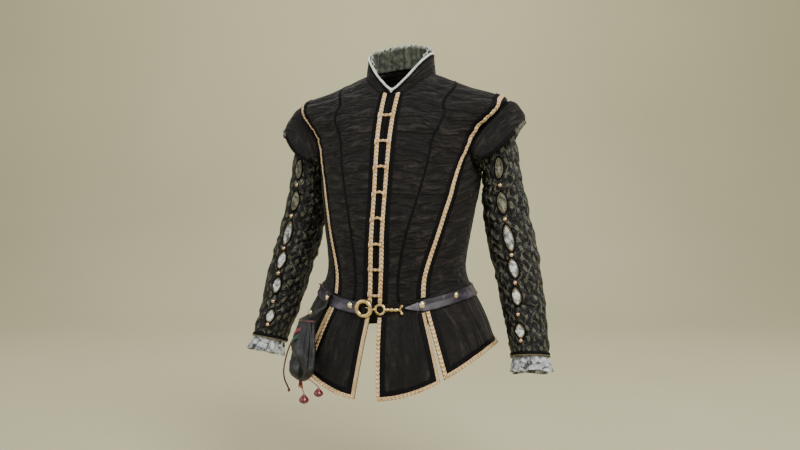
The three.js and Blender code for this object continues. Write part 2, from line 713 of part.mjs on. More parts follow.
const sleevePlaces = [0, 0.5, 1, 1.6, 2.2, 3, 3.8, 4.6, 5.4, 6.2, 7, 8, 9, 10];
const sleeveGrid = (from, to, columns) =>
  inset(gridOn(onSleeve, sleevePlaces.map((v) => steps(columns).map((t) => [lerp(from, to, t), v]))));
const topSleeve = sleeveGrid(SLEEVE_BACK_SEAM, SLEEVE_FRONT_SEAM, 12);
const underSleeve = sleeveGrid(SLEEVE_FRONT_SEAM, 360 + SLEEVE_BACK_SEAM, 7);

// The place on the sleeve where its surface is at a height, for a turn round the arm.
function sleevePlaceAt(turn, z) {
  let [low, high] = [1, WRIST];
  for (let k = 0; k < 30; k++) {
    const middle = (low + high) / 2;
    if (onSleeve(turn, middle).z > z) low = middle;
    else high = middle;
  }
  return low;
}

// A frame on the sleeve at a slash: its middle, its outward normal, down the arm, and across.
const slashFrames = SLASHES.map((slash) => {
  const place = sleevePlaceAt(slash.turn, slash.z);
  const middle = onSleeve(slash.turn, place);
  const down = onSleeve(slash.turn, place + 0.05).sub(middle).normalize();
  const out = normalOf(onSleeve, slash.turn, place);
  const across = down.clone().cross(out).normalize();
  return { ...slash, place, middle, down, out: across.clone().cross(down), across };
});

// The outline of a slash as [across, down] pairs, scaled by `share`.
const slashOutline = (halfLength, share = 1) =>
  range(8).map((k) => {
    const a = (2 * Math.PI * k) / 8;
    const across = SLASH_HALF_WIDTH * Math.sin(a) * Math.abs(Math.sin(a)) ** 0.35;
    return [across * share, halfLength * Math.cos(a) * (0.5 + share / 2)];
  });

const placed = (frame, [across, down], out) =>
  frame.middle.clone()
    .addScaledVector(frame.across, across)
    .addScaledVector(frame.down, down)
    .addScaledVector(frame.out, out);

const CUT_DEPTH = 9;
const cutters = slashFrames.map((frame) => {
  const outline = slashOutline(frame.halfLength);
  return toManifold(loft([-CUT_DEPTH, CUT_DEPTH].map((out) => outline.map((q) => placed(frame, q, out)))));
});
const wholeSleeve = toManifold(wall(topSleeve, WALL.sleeve));
const slashed = cutters.reduce((sleeve, cutter) => sleeve.subtract(cutter), wholeSleeve);
addPair("sleeve_top", fromManifold(slashed), "sleeve");
addPair("sleeve_under", wall(underSleeve, WALL.sleeve), "sleeve");

// ---------------------------------------------------------------- puffs behind the slashes

const [puffsFrom, puffsTo] = [slashFrames[0].place - PUFF.above, slashFrames.at(-1).place + PUFF.below];
const puffPlaces = steps(11).map((t) => lerp(puffsFrom, puffsTo, t));
const puffTurn = (place) => {
  const after = slashFrames.findIndex((frame) => frame.place > place);
  const k = after < 0 ? SLASHES.length - 1 : Math.max(after, 1);
  const [a, b] = [slashFrames[k - 1], slashFrames[k]];
  return lerp(a.turn, b.turn, THREE.MathUtils.clamp((place - a.place) / (b.place - a.place), 0, 1));
};
const puffStrip = gridOn(
  onSleeve,
  puffPlaces.map((v) => [-1, 0, 1].map((s) => [puffTurn(v) + PUFF.halfTurn * s, v])),
);
const pillows = slashFrames.map((frame) => {
  const layers = [[PUFF.depth - 0.8, 1], [0.6, 1], [PUFF.rise, 0.5]];
  const points = layers.flatMap(([out, share]) =>
    slashOutline(frame.halfLength, share * PUFF.share).map((q) => placed(frame, q, out).toArray()),
  );
  return wasm.Manifold.hull(points);
});
const strip = toManifold(wall(puffStrip, PUFF.thick, { lift: PUFF.depth }));
addPair("puffs", fromManifold(pillows.reduce((sum, pillow) => sum.add(pillow), strip)), "white");

// ---------------------------------------------------------------- cuffs

const bandTurns = range(20).map((k) => k * 18);
const bandPlaces = [WRIST - 0.28, WRIST - 0.06].map((v) => bandTurns.map((turn) => [turn, v]));
const bandGrid = gridOn(onSleeve, bandPlaces);
addPair("cuff_band", wall(bandGrid, WALL.trim, { lift: LIFT + WALL.trim + 0.2, ring: true }), "satin");

const wristMiddle = armMiddle(WRIST);
const wristAxis = wristMiddle.clone().sub(armMiddle(WRIST - 1)).normalize();

function onCuffRuffle(turn, share) {
  const out = onSleeve(turn, WRIST).sub(wristMiddle);
  const radius = out.length();
  const wave = CUFF.wave * (0.25 + 0.75 * share) * Math.cos(rad(turn * CUFF_PLEATS));
  const spread = lerp(radius - CUFF.tuckedIn, CUFF.ruffleRadius - CUFF.wave, Math.max(share, 0) ** 0.8);
  const reach = spread + wave;
  return wristMiddle.clone()
    .addScaledVector(wristAxis, lerp(-CUFF.ruffleIn, CUFF.ruffleOut, share))
    .addScaledVector(out, reach / radius);
}
const ruffleColumns = range(CUFF_PLEATS * 4).map((k) => (k * 90) / CUFF_PLEATS);
const cuffGrid = gridOn(onCuffRuffle, [0.03, 0.4, 1].map((v) => ruffleColumns.map((turn) => [turn, v])));
addPair("cuff_ruffle", wall(cuffGrid, WALL.ruffle, { ring: true }), "white");

// ---------------------------------------------------------------- skirt

for (const tab of TABS) {
  const turnAt = (s, v) => lerp(lerp(tab.beltFrom, tab.beltTo, s), lerp(tab.hemFrom, tab.hemTo, s), v);
  const places = steps(4).map((v) => steps(tab.columns).map((s) => [turnAt(s, v), v]));
  add(`tab_${tab.name}`, wall(inset(gridOn(onSkirt, places, () => 0, -1)), WALL.tab), "cloth");

  // The braid runs down one side, along the hem and up the other side.
  const bent = tab.columns > 6 ? 1.3 : 1;
  const widthAt = (v) => onSkirt(turnAt(0, v), v).distanceTo(onSkirt(turnAt(1, v), v)) * bent;
  const length = onSkirt(turnAt(0.5, 0), 0).distanceTo(onSkirt(turnAt(0.5, 1), 1));
  const line = (d) => {
    const low = 1 - d / length;
    const inFrom = (v) => d / widthAt(v);
    const down = [0.14, 0.3, 0.48, 0.66, 0.83].map((v) => [inFrom(v), v]);
    const along = steps(tab.columns).map((s) => [lerp(inFrom(low), 1 - inFrom(low), s), low]);
    const up = [...down].reverse().map(([s, v]) => [1 - s, v]);
    return [...down, ...along, ...up].map(([s, v]) => [turnAt(s, v), v]);
  };
  const [rim, inner] = [line(0.8), line(0.8 + 2 * BRAID_HALF)];
  const grid = gridOn(onSkirt, rim.map((q, k) => [q, inner[k]]), () => 0, -1);
  add(`tab_braid_${tab.name}`, wall(grid, WALL.trim, { lift: LIFT + WALL.trim }), "gold");
}

// ---------------------------------------------------------------- belt

const beltDrop = (turn) => onSection(BODY[0], turn).z - onSection(HEM, turn).z;
function onBelt(turn, height) {
  if (height > 0) return onBody(turn, height / 46);
  return onSkirt(turn, -height / beltDrop(turn));
}
const beltOut = (turn) => {
  const point = onSection(BODY[0], turn);
  return vec(point.x, point.y + 18, 0).normalize();
};
const beltPoint = (turn, height, out) => onBelt(turn, height).addScaledVector(beltOut(turn), out);

const beltTurns = steps(34).map((t) => lerp(BELT.tipTurn, BELT.endTurn, t));
const strap = beltTurns.map((turn) => {
  const taper = Math.min(1, 0.12 + (0.88 * (turn - BELT.tipTurn)) / BELT.tipLength);
  return [-BELT_HALF, 0, BELT_HALF].map((h) => ({
    p: beltPoint(turn, h * taper, BELT.clear + BELT_THICK),
    n: beltOut(turn),
  }));
});
add("belt", wall(strap, BELT_THICK), "leather");

// A wire ring about `middle`; its flat side looks along -Y.
function hoop(middle, radius, wire, count) {
  const sides = 6;
  const points = range(count).flatMap((k) => {
    const a = (2 * Math.PI * k) / count;
    const out = vec(Math.cos(a), 0, Math.sin(a));
    return range(sides).map((m) => {
      const b = (2 * Math.PI * m) / sides;
      const point = middle.clone().addScaledVector(out, radius + wire * Math.cos(b));
      return point.add(vec(0, -wire * Math.sin(b), 0));
    });
  });
  const faces = [];
  for (const k of range(count))
    for (const m of range(sides)) {
      const [a, b] = [k * sides + m, k * sides + ((m + 1) % sides)];
      const turnOn = ((k + 1) % count) * sides - k * sides;
      faces.push(a, b, b + turnOn, a, b + turnOn, a + turnOn);
    }
  return shape(points, faces);
}

const claspY = onSection(BODY[0], 0).y - RING.stand;
const beltZ = onSection(BODY[0], 0).z;
const atClasp = (x, forward = 0, up = 0) => vec(x, claspY - forward, beltZ + up);
add("belt_ring", hoop(atClasp(RING.x), RING.radius, RING.wire, 16), "brass");

// The hook: an eye, a bar with knops at its end, and a beak that catches the ring.
const upright = () => vec(0, 0, 1);
const eye = toManifold(hoop(atClasp(HOOK.x), HOOK.radius, HOOK.wire, 14));
const barPath = [
  atClasp(HOOK.x + HOOK.radius - 0.5),
  atClasp(HOOK.x + 20, -0.3 * HOOK.dip),
  atClasp(HOOK.barEnd, -HOOK.dip),
];
const bar = toManifold(cord(barPath, upright, HOOK.barRadius));
const ringInside = RING.x + RING.radius - RING.wire;
const beakOver = RING.wire + HOOK.beakRadius + 0.1;
const beakPath = [
  atClasp(HOOK.x - HOOK.radius + 0.5),
  atClasp(HOOK.x - HOOK.radius - 3, beakOver - 0.6),
  atClasp(ringInside + 1.1, beakOver),
  atClasp(ringInside - 3.2, 2),
  atClasp(ringInside - 3.6, -2.2),
];
const beak = toManifold(cord(beakPath, upright, HOOK.beakRadius));
const knops = KNOPS.map(({ fromBarEnd, back, up, radius }) =>
  wasm.Manifold.sphere(radius, 8).translate(atClasp(HOOK.barEnd + fromBarEnd, -back, up).toArray()),
);
const hook = knops.reduce((sum, knop) => sum.add(knop), eye.add(bar).add(beak));
add("belt_hook", fromManifold(hook), "brass");

// Each stud stands on the flat facet of the belt that lies under it.
STUD_TURNS.forEach((turn, k) => {
  const step = ((turn - BELT.tipTurn) / (BELT.endTurn - BELT.tipTurn)) * (strap.length - 1);
  const facet = Math.floor(step);
  const [low, middle, high] = range(3).map((i) =>
    strap[facet][i].p.clone().lerp(strap[facet + 1][i].p, step - facet),
  );
  const along = strap[facet + 1][1].p.clone().sub(strap[facet][1].p).normalize();
  const up = high.clone().sub(low).normalize();
  const out = along.clone().cross(up).normalize();
  middle.lerp(low.clone().lerp(high, 0.5), STUD.radius / BELT_HALF);
  const sections = STUD_DOME.map((layer) =>
    range(10).map((m) => {
      const a = (2 * Math.PI * m) / 10;
      return middle.clone()
        .addScaledVector(out, STUD.gap + layer.up)
        .addScaledVector(along, STUD.radius * layer.share * Math.cos(a))
        .addScaledVector(up, STUD.radius * layer.share * Math.sin(a));
    }),
  );
  add(`stud_${k + 1}`, loft(sections), "brass");
});

// ---------------------------------------------------------------- pouch

const pouchAcross = vec(-POUCH_FACE.y, POUCH_FACE.x, 0);
const pouchSections = steps(14).map((t) => {
  const s = rowAt(POUCH, t * (POUCH.length - 1));
  return range(12).map((m) => {
    const a = (2 * Math.PI * m) / 12;
    return vec(s.x, s.y, s.z)
      .addScaledVector(pouchAcross, s.halfWidth * Math.cos(a))
      .addScaledVector(POUCH_FACE, s.halfDepth * Math.sin(a));
  });
});
add("pouch", loft(pouchSections), "pouch");

const drawstringRound = new THREE.Shape(
  range(DRAWSTRING.sides).map((k) => {
    const a = (2 * Math.PI * k) / DRAWSTRING.sides;
    return new THREE.Vector2(Math.cos(a), Math.sin(a)).multiplyScalar(DRAWSTRING.radius);
  }),
);
const drawstringPath = new THREE.CatmullRomCurve3(DRAWSTRING_ROUTE.map(({ x, y, z }) => vec(x, y, z)));
const drawstring = new THREE.ExtrudeGeometry(drawstringRound, {
  steps: DRAWSTRING.steps,
  extrudePath: drawstringPath,
  bevelEnabled: false,
});
add("pouch_drawstring", drawstring, "red");

// A strap from over the belt's top edge down to the neck of the pouch.
const hangerOver = BELT.clear + BELT_THICK + HANGER.thick + HANGER.gap;
const hangerStops = [
  beltPoint(HANGER.turn, BELT_HALF + 2, hangerOver),
  beltPoint(HANGER.turn, -BELT_HALF - 2, hangerOver),
  vec(POUCH[0].x, POUCH[0].y, POUCH[0].z + HANGER.endsAbove).addScaledVector(POUCH_FACE, HANGER.thick),
];
const hangerOut = beltOut(HANGER.turn);
const hangerSide = vec(0, 0, 1).cross(hangerOut);
const hangerGrid = hangerStops.map((p) =>
  [-1, 1].map((s) => ({ p: p.clone().addScaledVector(hangerSide, s * HANGER.half), n: hangerOut })),
);
add("pouch_hanger", wall(hangerGrid, HANGER.thick), "pouch");

export default doublet;
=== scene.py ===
import json
import math

import bpy
import numpy as np
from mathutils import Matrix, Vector

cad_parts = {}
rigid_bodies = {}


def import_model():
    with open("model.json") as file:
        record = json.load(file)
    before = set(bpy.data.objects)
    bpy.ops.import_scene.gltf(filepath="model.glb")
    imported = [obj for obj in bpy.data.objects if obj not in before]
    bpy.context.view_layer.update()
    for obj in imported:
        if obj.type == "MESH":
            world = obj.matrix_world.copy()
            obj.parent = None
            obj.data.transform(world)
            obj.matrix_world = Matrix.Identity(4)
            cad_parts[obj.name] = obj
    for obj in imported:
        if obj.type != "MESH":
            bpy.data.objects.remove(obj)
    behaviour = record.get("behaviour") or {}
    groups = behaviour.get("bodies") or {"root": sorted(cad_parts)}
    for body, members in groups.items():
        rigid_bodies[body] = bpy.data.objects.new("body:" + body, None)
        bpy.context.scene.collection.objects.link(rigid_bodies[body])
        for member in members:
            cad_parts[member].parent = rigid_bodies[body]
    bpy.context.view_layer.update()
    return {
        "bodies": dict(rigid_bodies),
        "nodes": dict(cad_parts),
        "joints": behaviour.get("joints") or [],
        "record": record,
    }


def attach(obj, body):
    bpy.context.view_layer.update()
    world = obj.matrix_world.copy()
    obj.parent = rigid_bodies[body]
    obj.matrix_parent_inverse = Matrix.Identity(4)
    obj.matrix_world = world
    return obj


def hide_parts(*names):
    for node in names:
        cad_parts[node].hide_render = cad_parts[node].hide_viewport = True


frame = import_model()

# ---------------------------------------------------------------- camera, in metres

CAMERA = {"reach": 1.7, "height": -0.212, "lens": 38.25}
AZIMUTH = math.radians(20)
TILT = math.radians(2.9)
INTO_VIEW = Vector((-math.sin(AZIMUTH), math.cos(AZIMUTH), 0))
scene = bpy.context.scene
scene.camera = bpy.data.objects.new("camera", bpy.data.cameras.new("camera"))
scene.collection.objects.link(scene.camera)
scene.camera.data.lens = CAMERA["lens"]
scene.camera.data.sensor_width = 36
scene.camera.data.clip_start = 0.05
scene.camera.data.clip_end = 60
scene.camera.location = Vector((0, 0, CAMERA["height"])) - INTO_VIEW * CAMERA["reach"]
look = INTO_VIEW * math.cos(TILT) - Vector((0, 0, math.sin(TILT)))
scene.camera.rotation_euler = look.to_track_quat("-Z", "Y").to_euler()

# ---------------------------------------------------------------- sizes, in millimetres

FINE = 8  # rows and columns of a body panel here for each one of the solid's
SEAM_GAP = 0.4
PADDING = 1.8
GUARD_HALF = 13.0
BRAID_HALF = 4.2
WELT_HALF = 2.5
PLACKET_WIDTH = 25.0
BELT_HALF = 12.5
BELT_THICK = 3.0
COLLAR_PLEATS = 22
CUFF_PLEATS = 13
WALL = {"body": 3.0, "tab": 2.6, "collar": 2.6, "wing": 3.6, "sleeve": 1.8, "ruffle": 1.1}


class Table:
    """Rows of named columns, read on a smooth curve through them."""

    def __init__(self, columns, *rows):
        self.columns = columns.split()
        self.rows = np.array(rows, float)

    def at(self, place):
        place = np.asarray(place, float)
        last = len(self.rows) - 1
        k = np.clip(np.floor(place), 0, last - 1).astype(int)
        f = (place - k)[..., None]
        a, b, c, d = (self.rows[np.clip(k + i, 0, last)] for i in (-1, 0, 1, 2))
        m = b + 0.5 * f * (c - a + f * (2 * a - 5 * b + 4 * c - d + f * (3 * (b - c) + d - a)))
        return {name: m[..., i] for i, name in enumerate(self.columns)}

    def where(self, value):
        first = self.rows[:, 0]
        k = np.clip(np.searchsorted(first, value, side="right") - 1, 0, len(first) - 2)
        return self.at(k + (value - first[k]) / (first[k + 1] - first[k]))


BODY = Table(
    "zFront zSide zBack halfWidth yFront ySide yBack power powerBack",
    [-447, -418, -412, 150, -136, -18, 92, 2.15, 2.15],
    [-392, -378, -372, 137, -131, -18, 88, 2.15, 2.15],
    [-312, -302, -296, 146, -126, -12, 98, 2.2, 2.2],
    [-232, -232, -226, 158, -111, -2, 110, 2.3, 2.3],
    [-176, -186, -160, 164, -101, 4, 116, 2.35, 2.3],
    [-132, -116, -102, 176, -91, 5, 110, 2.2, 2.1],
    [-100, -58, -62, 216, -80, 5, 98, 1.9, 1.55],
    [-70, -27, -18, 138, -65, 6, 84, 2.05, 1.85],
    [-42, 0, 12, 70, -47, 6, 64, 2.1, 2.1],
)
SHOULDER_TIP = 6
NECK = 8
PRINCESS_SEAM = Table(
    "turn level",
    [16.5, 0], [16.5, 1], [20, 2], [24.8, 3], [28, 4], [30, 5], [32, 6], [44, 6.8], [90, 7.35],
)
GUARD_SEAM = Table("turn level", [34, 0], [38.3, 1], [46.5, 2], [52.1, 3], [60.7, 4], [67, 4.5])
ARMHOLE_FRONT = Table("turn level", [67, 4.5], [74, 5], [75.7, 5.5], [77.3, 5.77], [90, SHOULDER_TIP])
ARMHOLE_UNDER = Table("turn level", [67, 4.5], [75, 4.08], [90, 3.88], [105, 4.08], [113, 4.5])
ARMHOLE = Table("turn level", *ARMHOLE_FRONT.rows[::-1], *ARMHOLE_UNDER.rows[1:3])
HEM = {
    "zFront": -609, "zSide": -524, "zBack": -518, "halfWidth": 199,
    "yFront": -187, "ySide": -22, "yBack": 128, "power": 2.1, "powerBack": 2.1,
}
SKIRT_SPRING = 5
TABS = {
    "front_left": (1.8, 34.5, 5.4, 40.6),
    "side_left": (34.5, 147, 42.8, 142),
    "back": (147, 213, 146, 214),
    "side_right": (213, 325.5, 218, 317.2),
    "front_right": (325.5, 358.2, 319.4, 354.6),
}
SLEEVE = Table(
    "xOuter zOuter xInner zInner y halfDepth",
    [193, -78, 160, -164, 6, 28],
    [216, -95, 167, -180, 7.5, 32],
    [230, -127, 169, -196, 9.5, 38.5],
    [237, -170, 167, -222, 13, 45],
    [247, -226, 167, -258, 14, 47],
    [263, -292, 176, -308, 9, 47],
    [277, -350, 188, -356, 3, 46],
    [288, -400, 202, -404, -6, 44],
    [296, -452, 215, -457, -17, 41],
    [303, -498, 229, -504, -30, 38],
    [307, -534, 239, -541, -41, 35],
)
WRIST = 10
HEAD_ROWS = 3
SLEEVE_FRONT_SEAM = 150
SLEEVE_BACK_SEAM = -62
SLASHES = [(-187, 80, 20), (-250, 80, 20), (-318, 82, 25), (-372, 87, 18), (-424, 92, 16), (-486, 98, 13)]
SLASH_HALF_WIDTH = 8
BEAD_LEAF = [(0, -5.175), (1.6, -3.45), (2.4, 0), (1.0, 4.83)]
COLLAR = Table(
    "turn height lean",
    [0, 5, 0], [20, 19, -1], [45, 31, -2.5], [70, 34, -3.5], [90, 36, -4], [135, 40, -3], [180, 42, -2],
)
RUFFLE = {"from": 36, "low": 6, "over": 14, "inside": 7, "wave": 2.4}
WING_EDGE = Table(
    "share x y z",
    [0, 250, 2, -98], [0.25, 247, -18, -107], [0.5, 236, -34, -125],
    [0.75, 217, -46, -147], [0.9, 197, -50, -163], [1, 178, -50, -172],
)
WING_PUFF = 8.6
WING_BACK = 14
WING_REACH = {"front": 132, "back": 112}
WING_LIFT = {"front": 3.0, "back": 5.5}
CUFF = {"in": 6, "out": 28, "radius": 41, "inside": 5.5, "wave": 3.4}
RUNG = {"topZ": -86, "pitch": 48.3, "height": 7}
CLASPS = 8
BELT = {"clear": 1.3, "tipTurn": 20.6, "tipLength": 14, "endTurn": 350}
RING = {"x": -19, "radius": 14.8, "wire": 3.1, "stand": 10}
HOOK = {"x": 14, "radius": 8.8, "wire": 2.3, "barEnd": 52.6, "dip": 8}
HOOK_KNOPS = Table(
    "along back up radius",
    [1.5, 8, 6.8, 3.2], [1.5, 8, -6.8, 3.2], [-3, 8, 0, 3.9], [-17, 2.8, 0, 4.4], [-10, 5, 0, 3.7],
)
STUD_TURNS = [33, 63.5, 342.5, 288]
HANGER_TURN = 320
POUCH = Table(
    "x y z halfWidth halfDepth",
    [-131, -151, -468, 12, 6],
    [-131.5, -154, -474, 20, 10],
    [-132, -157, -483, 21, 11],
    [-132, -161, -498, 26, 14.5],
    [-132, -167, -518, 30.5, 17],
    [-132, -172, -540, 32.5, 18],
    [-132, -176, -560, 31.5, 18],
    [-132, -177, -573, 26, 15.5],
    [-132, -177, -581, 15, 9],
    [-132, -177, -585, 5, 3],
)
POUCH_FOLD = [(136, 4.9), (105, 5.0), (70, 5.5), (50, 6.4), (56, 7.3)]
POUCH_FACE = np.array([-0.498, -0.867, 0])
POUCH_ACROSS = np.array([0.867, -0.498, 0])
DRAWSTRING_ROUTE = [
    (-157.5, -148, -506), (-165, -147, -513), (-172, -147, -526), (-178, -148, -543),
    (-182, -149, -560), (-183.5, -151, -577), (-180, -152, -594), (-172, -152, -609),
]

DRAWSTRING_WIDTH = 3.0
BULLION_STEP = 1.3
SIDES = (("left", False), ("right", True))

# ---------------------------------------------------------------- surfaces of the garment


def vec(x, y, z):
    return np.stack(np.broadcast_arrays(*(np.asarray(v, float) for v in (x, y, z))), -1)


def unit(v):
    return v / np.maximum(np.linalg.norm(v, axis=-1, keepdims=True), 1e-12)


def lengths(path):
    """How far along a path each of its points lies."""
    return np.concatenate([[0], np.cumsum(np.linalg.norm(np.diff(path, axis=0), axis=1))])


def read(places, known, rows):
    """Rows of numbers, read at places between the known ones."""
    return np.stack([np.interp(places, known, column) for column in np.transpose(rows)], -1)


def evenly(path, step_count):
    """The places along a path and its points there, spread evenly."""
    reach = lengths(path)
    even = np.linspace(0, reach[-1], step_count)
    return even, read(even, reach, path)


def smoothstep(x, low, high):
    t = np.clip((np.asarray(x, float) - low) / (high - low), 0, 1)
    return t * t * (3 - 2 * t)


def on_section(s, turn):
    a = np.radians(turn)
    across, along = np.sin(a), np.cos(a)
    front = along > 0
    bend = 2 / np.where(front, s["power"], s["powerBack"])

    def rounded(v):
        return np.sign(v) * np.abs(v) ** bend

    y_end = np.where(front, s["yFront"], s["yBack"])
    z_end = np.where(front, s["zFront"], s["zBack"])
    return vec(
        s["halfWidth"] * rounded(across),
        s["ySide"] + (y_end - s["ySide"]) * np.abs(rounded(along)),
        s["zSide"] + (z_end - s["zSide"]) * along * along,
    )


def on_body(turn, level):
    turn, level = np.broadcast_arrays(turn, level)
    return on_section(BODY.at(level), turn)


BELT_LINE = {name: BODY.rows[0][i] for i, name in enumerate(BODY.columns)}


def on_skirt(turn, share):
    turn, share = np.broadcast_arrays(np.asarray(turn, float), np.asarray(share, float))
    top, low = on_section(BELT_LINE, turn), on_section(HEM, turn)
    point = top + (low - top) * share[..., None]
    out = unit(vec(point[..., 0], point[..., 1] + 20, 0))
    return point + out * (SKIRT_SPRING * np.sin(np.pi * share))[..., None]


def normal_of(surface, u, v, du=0.5, dv=0.02):
    across = surface(u + du, v) - surface(u - du, v)
    up = surface(u, v + dv) - surface(u, v - dv)
    return unit(np.cross(across, up))


def along_seam(rows, count, surface=on_body):
    fine = rows.at(np.linspace(0, len(rows.rows) - 1, 81))
    points = surface(fine["turn"], fine["level"])
    reach = lengths(points)
    wanted = np.linspace(0, reach[-1], count + 1)
    return read(wanted, reach, np.stack([fine["turn"], fine["level"]], -1))


def between(a, b, count):
    t = np.linspace(0, 1, count + 1)[:, None]
    return np.array(a, float) * (1 - t) + np.array(b, float) * t


def fill_panel(left, right, bottom, top):
    s = np.linspace(0, 1, len(bottom))[None, :, None]
    t = np.linspace(0, 1, len(left))[:, None, None]
    ruled = left[:, None] * (1 - s) + right[:, None] * s
    low = bottom[0] * (1 - s) + bottom[-1] * s
    high = top[0] * (1 - s) + top[-1] * s
    return ruled + (bottom[None] - low) * (1 - t) ** 4 + (top[None] - high) * t**4


HOLE_STEPS = 36
LOOP = along_seam(ARMHOLE, HOLE_STEPS)


def armhole_edge(turn):
    """The armhole's edge, its normal and the way across it, by turn round the arm."""
    full = np.mod(turn, 360)
    step = np.where(full > 180, 360 - full, full) / 180 * HOLE_STEPS
    k = np.minimum(np.floor(step), HOLE_STEPS - 1).astype(int)
    f = (step - k)[..., None]
    found = LOOP[k] * (1 - f) + LOOP[k + 1] * f
    t = np.where(full > 180, 180 - found[..., 0], found[..., 0])
    level = found[..., 1]
    p = on_body(t, level)
    inwards = on_body(t + (90 - t) * 0.03, level + (5 - level) * 0.03)
    return p, normal_of(on_body, t, level), unit(inwards - p)


def sleeve_head(turn):
    p, n, across = armhole_edge(turn)
    under = smoothstep(np.cos(np.radians(turn)), -0.5, -0.2)[..., None]
    return p + across * 1.8 + n * (-1.5 + (-WALL["wing"] - 6.2 + 1.5) * under)


def arm_middle(place):
    s = SLEEVE.at(place)
    return vec((s["xOuter"] + s["xInner"]) / 2, s["y"], (s["zOuter"] + s["zInner"]) / 2)


def on_sleeve(turn, place):
    turn, place = np.broadcast_arrays(np.asarray(turn, float), np.asarray(place, float))
    below = np.maximum(place, 0.4)
    s = SLEEVE.at(below)
    outwards = vec((s["xOuter"] - s["xInner"]) / 2, 0, (s["zOuter"] - s["zInner"]) / 2)
    down = arm_middle(np.minimum(below + 0.3, WRIST)) - arm_middle(np.minimum(below, WRIST - 0.3) - 0.3)
    forwards = unit(np.cross(down, outwards))
    a = np.radians(turn)[..., None]
    point = arm_middle(below) + outwards * np.cos(a) + forwards * s["halfDepth"][..., None] * np.sin(a)
    held = (np.maximum(0, 1 - place / HEAD_ROWS) ** 1.3)[..., None]
    return point * (1 - held) + sleeve_head(turn) * held


def soft_noise(u, v, seed=0):
    """Smooth noise from -1 to 1 over a plane, with one knot a unit."""
    u, v = np.broadcast_arrays(np.asarray(u, float), np.asarray(v, float))
    i, j = np.floor(u).astype(int), np.floor(v).astype(int)
    f, g = u - i, v - j
    f, g = f * f * (3 - 2 * f), g * g * (3 - 2 * g)

    def knot(a, b):
        n = np.sin(a * 127.1 + b * 311.7 + seed * 74.7) * 43758.5453
        return 2 * (n - np.floor(n)) - 1

    low = knot(i, j) * (1 - f) + knot(i + 1, j) * f
    high = knot(i, j + 1) * (1 - f) + knot(i + 1, j + 1) * f
    return low * (1 - g) + high * g


# ---------------------------------------------------------------- meshes

def normals_of(points, like=None, ring=False):
    """Unit normals of a grid of points, turned the way of `like` where it is given."""
    if ring:
        across = np.roll(points, -1, axis=1) - np.roll(points, 1, axis=1)
    else:
        across = np.gradient(points, axis=1)
    up = np.gradient(points, axis=0)
    n = unit(np.cross(across, up))
    if like is not None and (n * like).sum() < 0:
        n = -n
    return n


def metric_uv(points):
    """Distances along a grid's rows and columns, in metres."""
    u = np.zeros(points.shape[:2])
    v = np.zeros(points.shape[:2])
    u[:, 1:] = np.cumsum(np.linalg.norm(np.diff(points, axis=1), axis=-1), axis=1)
    v[1:] = np.cumsum(np.linalg.norm(np.diff(points, axis=0), axis=-1), axis=0)
    middle = u.shape[1] // 2
    u = u - u[:, middle : middle + 1]
    return np.stack([u, v], -1) / 1000


def make(name, points, faces, material, uv, mirrored=False):
    """A mesh object from points in millimetres."""
    points = np.asarray(points, float).reshape(-1, 3) / 1000
    if mirrored:
        points = points * [-1, 1, 1]
        faces = [face[::-1] for face in faces]
    mesh = bpy.data.meshes.new(name)
    mesh.from_pydata(points.tolist(), [], [list(map(int, f)) for f in faces])
    layer = mesh.uv_layers.new(name="UVMap")
    loops = np.empty(len(mesh.loops), int)
    mesh.loops.foreach_get("vertex_index", loops)
    layer.data.foreach_set("uv", np.asarray(uv, float).reshape(-1, 2)[loops].ravel())
    mesh.polygons.foreach_set("use_smooth", [True] * len(mesh.polygons))
    mesh.update()
    obj = bpy.data.objects.new(name, mesh)
    bpy.context.scene.collection.objects.link(obj)
    obj.data.materials.append(material)
    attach(obj, "root")
    return obj


def grid_faces(rows, columns, closed=False, ring=False):
    """A grid's four-sided faces. Its last row may join the first, and its last column too."""
    i, j = np.meshgrid(np.arange(rows - (not closed)), np.arange(columns - (not ring)), indexing="ij")
    m, k = (i + 1) % rows, (j + 1) % columns
    return np.stack([i * columns + j, i * columns + k, m * columns + k, m * columns + j], -1)


def wall_parts(outer, normals, thick, ring=False, keep=None, uv=None):
    """Points, faces and uv of a closed wall of cloth with rounded edges, below an outer grid."""
    uv = metric_uv(outer) if uv is None else uv
    quads = grid_faces(*outer.shape[:2], ring=ring)
    quads = quads.reshape(-1, 4) if keep is None else quads[keep]
    p = outer.reshape(-1, 3).copy()
    n = normals.reshape(-1, 3)
    a, b, d = p[quads[:, 0]], p[quads[:, 1]], p[quads[:, 3]]
    if (np.cross(b - a, d - a) * n[quads[:, 0]]).sum() < 0:
        quads = quads[:, ::-1]
    edges = np.concatenate([quads[:, [k, (k + 1) % 4]] for k in range(4)])
    known = {(int(x), int(y)) for x, y in edges}
    rim = [(x, y) for x, y in known if (y, x) not in known]
    inner = p - n * thick
    count = len(p)
    out = {}
    for x, y in rim:
        along = p[y] - p[x]
        side = np.cross(along, n[x])
        side = side / max(np.linalg.norm(side), 1e-9)
        for k in (x, y):
            out[k] = out.get(k, 0) + side
    middle = {k: 2 * count + m for m, k in enumerate(out)}
    middles = []
    for k, side in out.items():
        side = side / max(np.linalg.norm(side), 1e-9)
        middles.append((p[k] + inner[k]) / 2)
        p[k] = p[k] - side * thick * 0.3
        inner[k] = inner[k] - side * thick * 0.3
    faces = quads.tolist()
    faces += (quads[:, ::-1] + count).tolist()
    for x, y in rim:
        faces.append([y, x, middle[x], middle[y]])
        faces.append([middle[y], middle[x], x + count, y + count])
    points = np.concatenate([p, inner, np.array(middles).reshape(-1, 3)])
    flat_uv = uv.reshape(-1, 2)
    all_uv = np.concatenate([flat_uv, flat_uv, flat_uv[list(out)]]) if out else np.concatenate([flat_uv] * 2)
    return points, faces, all_uv


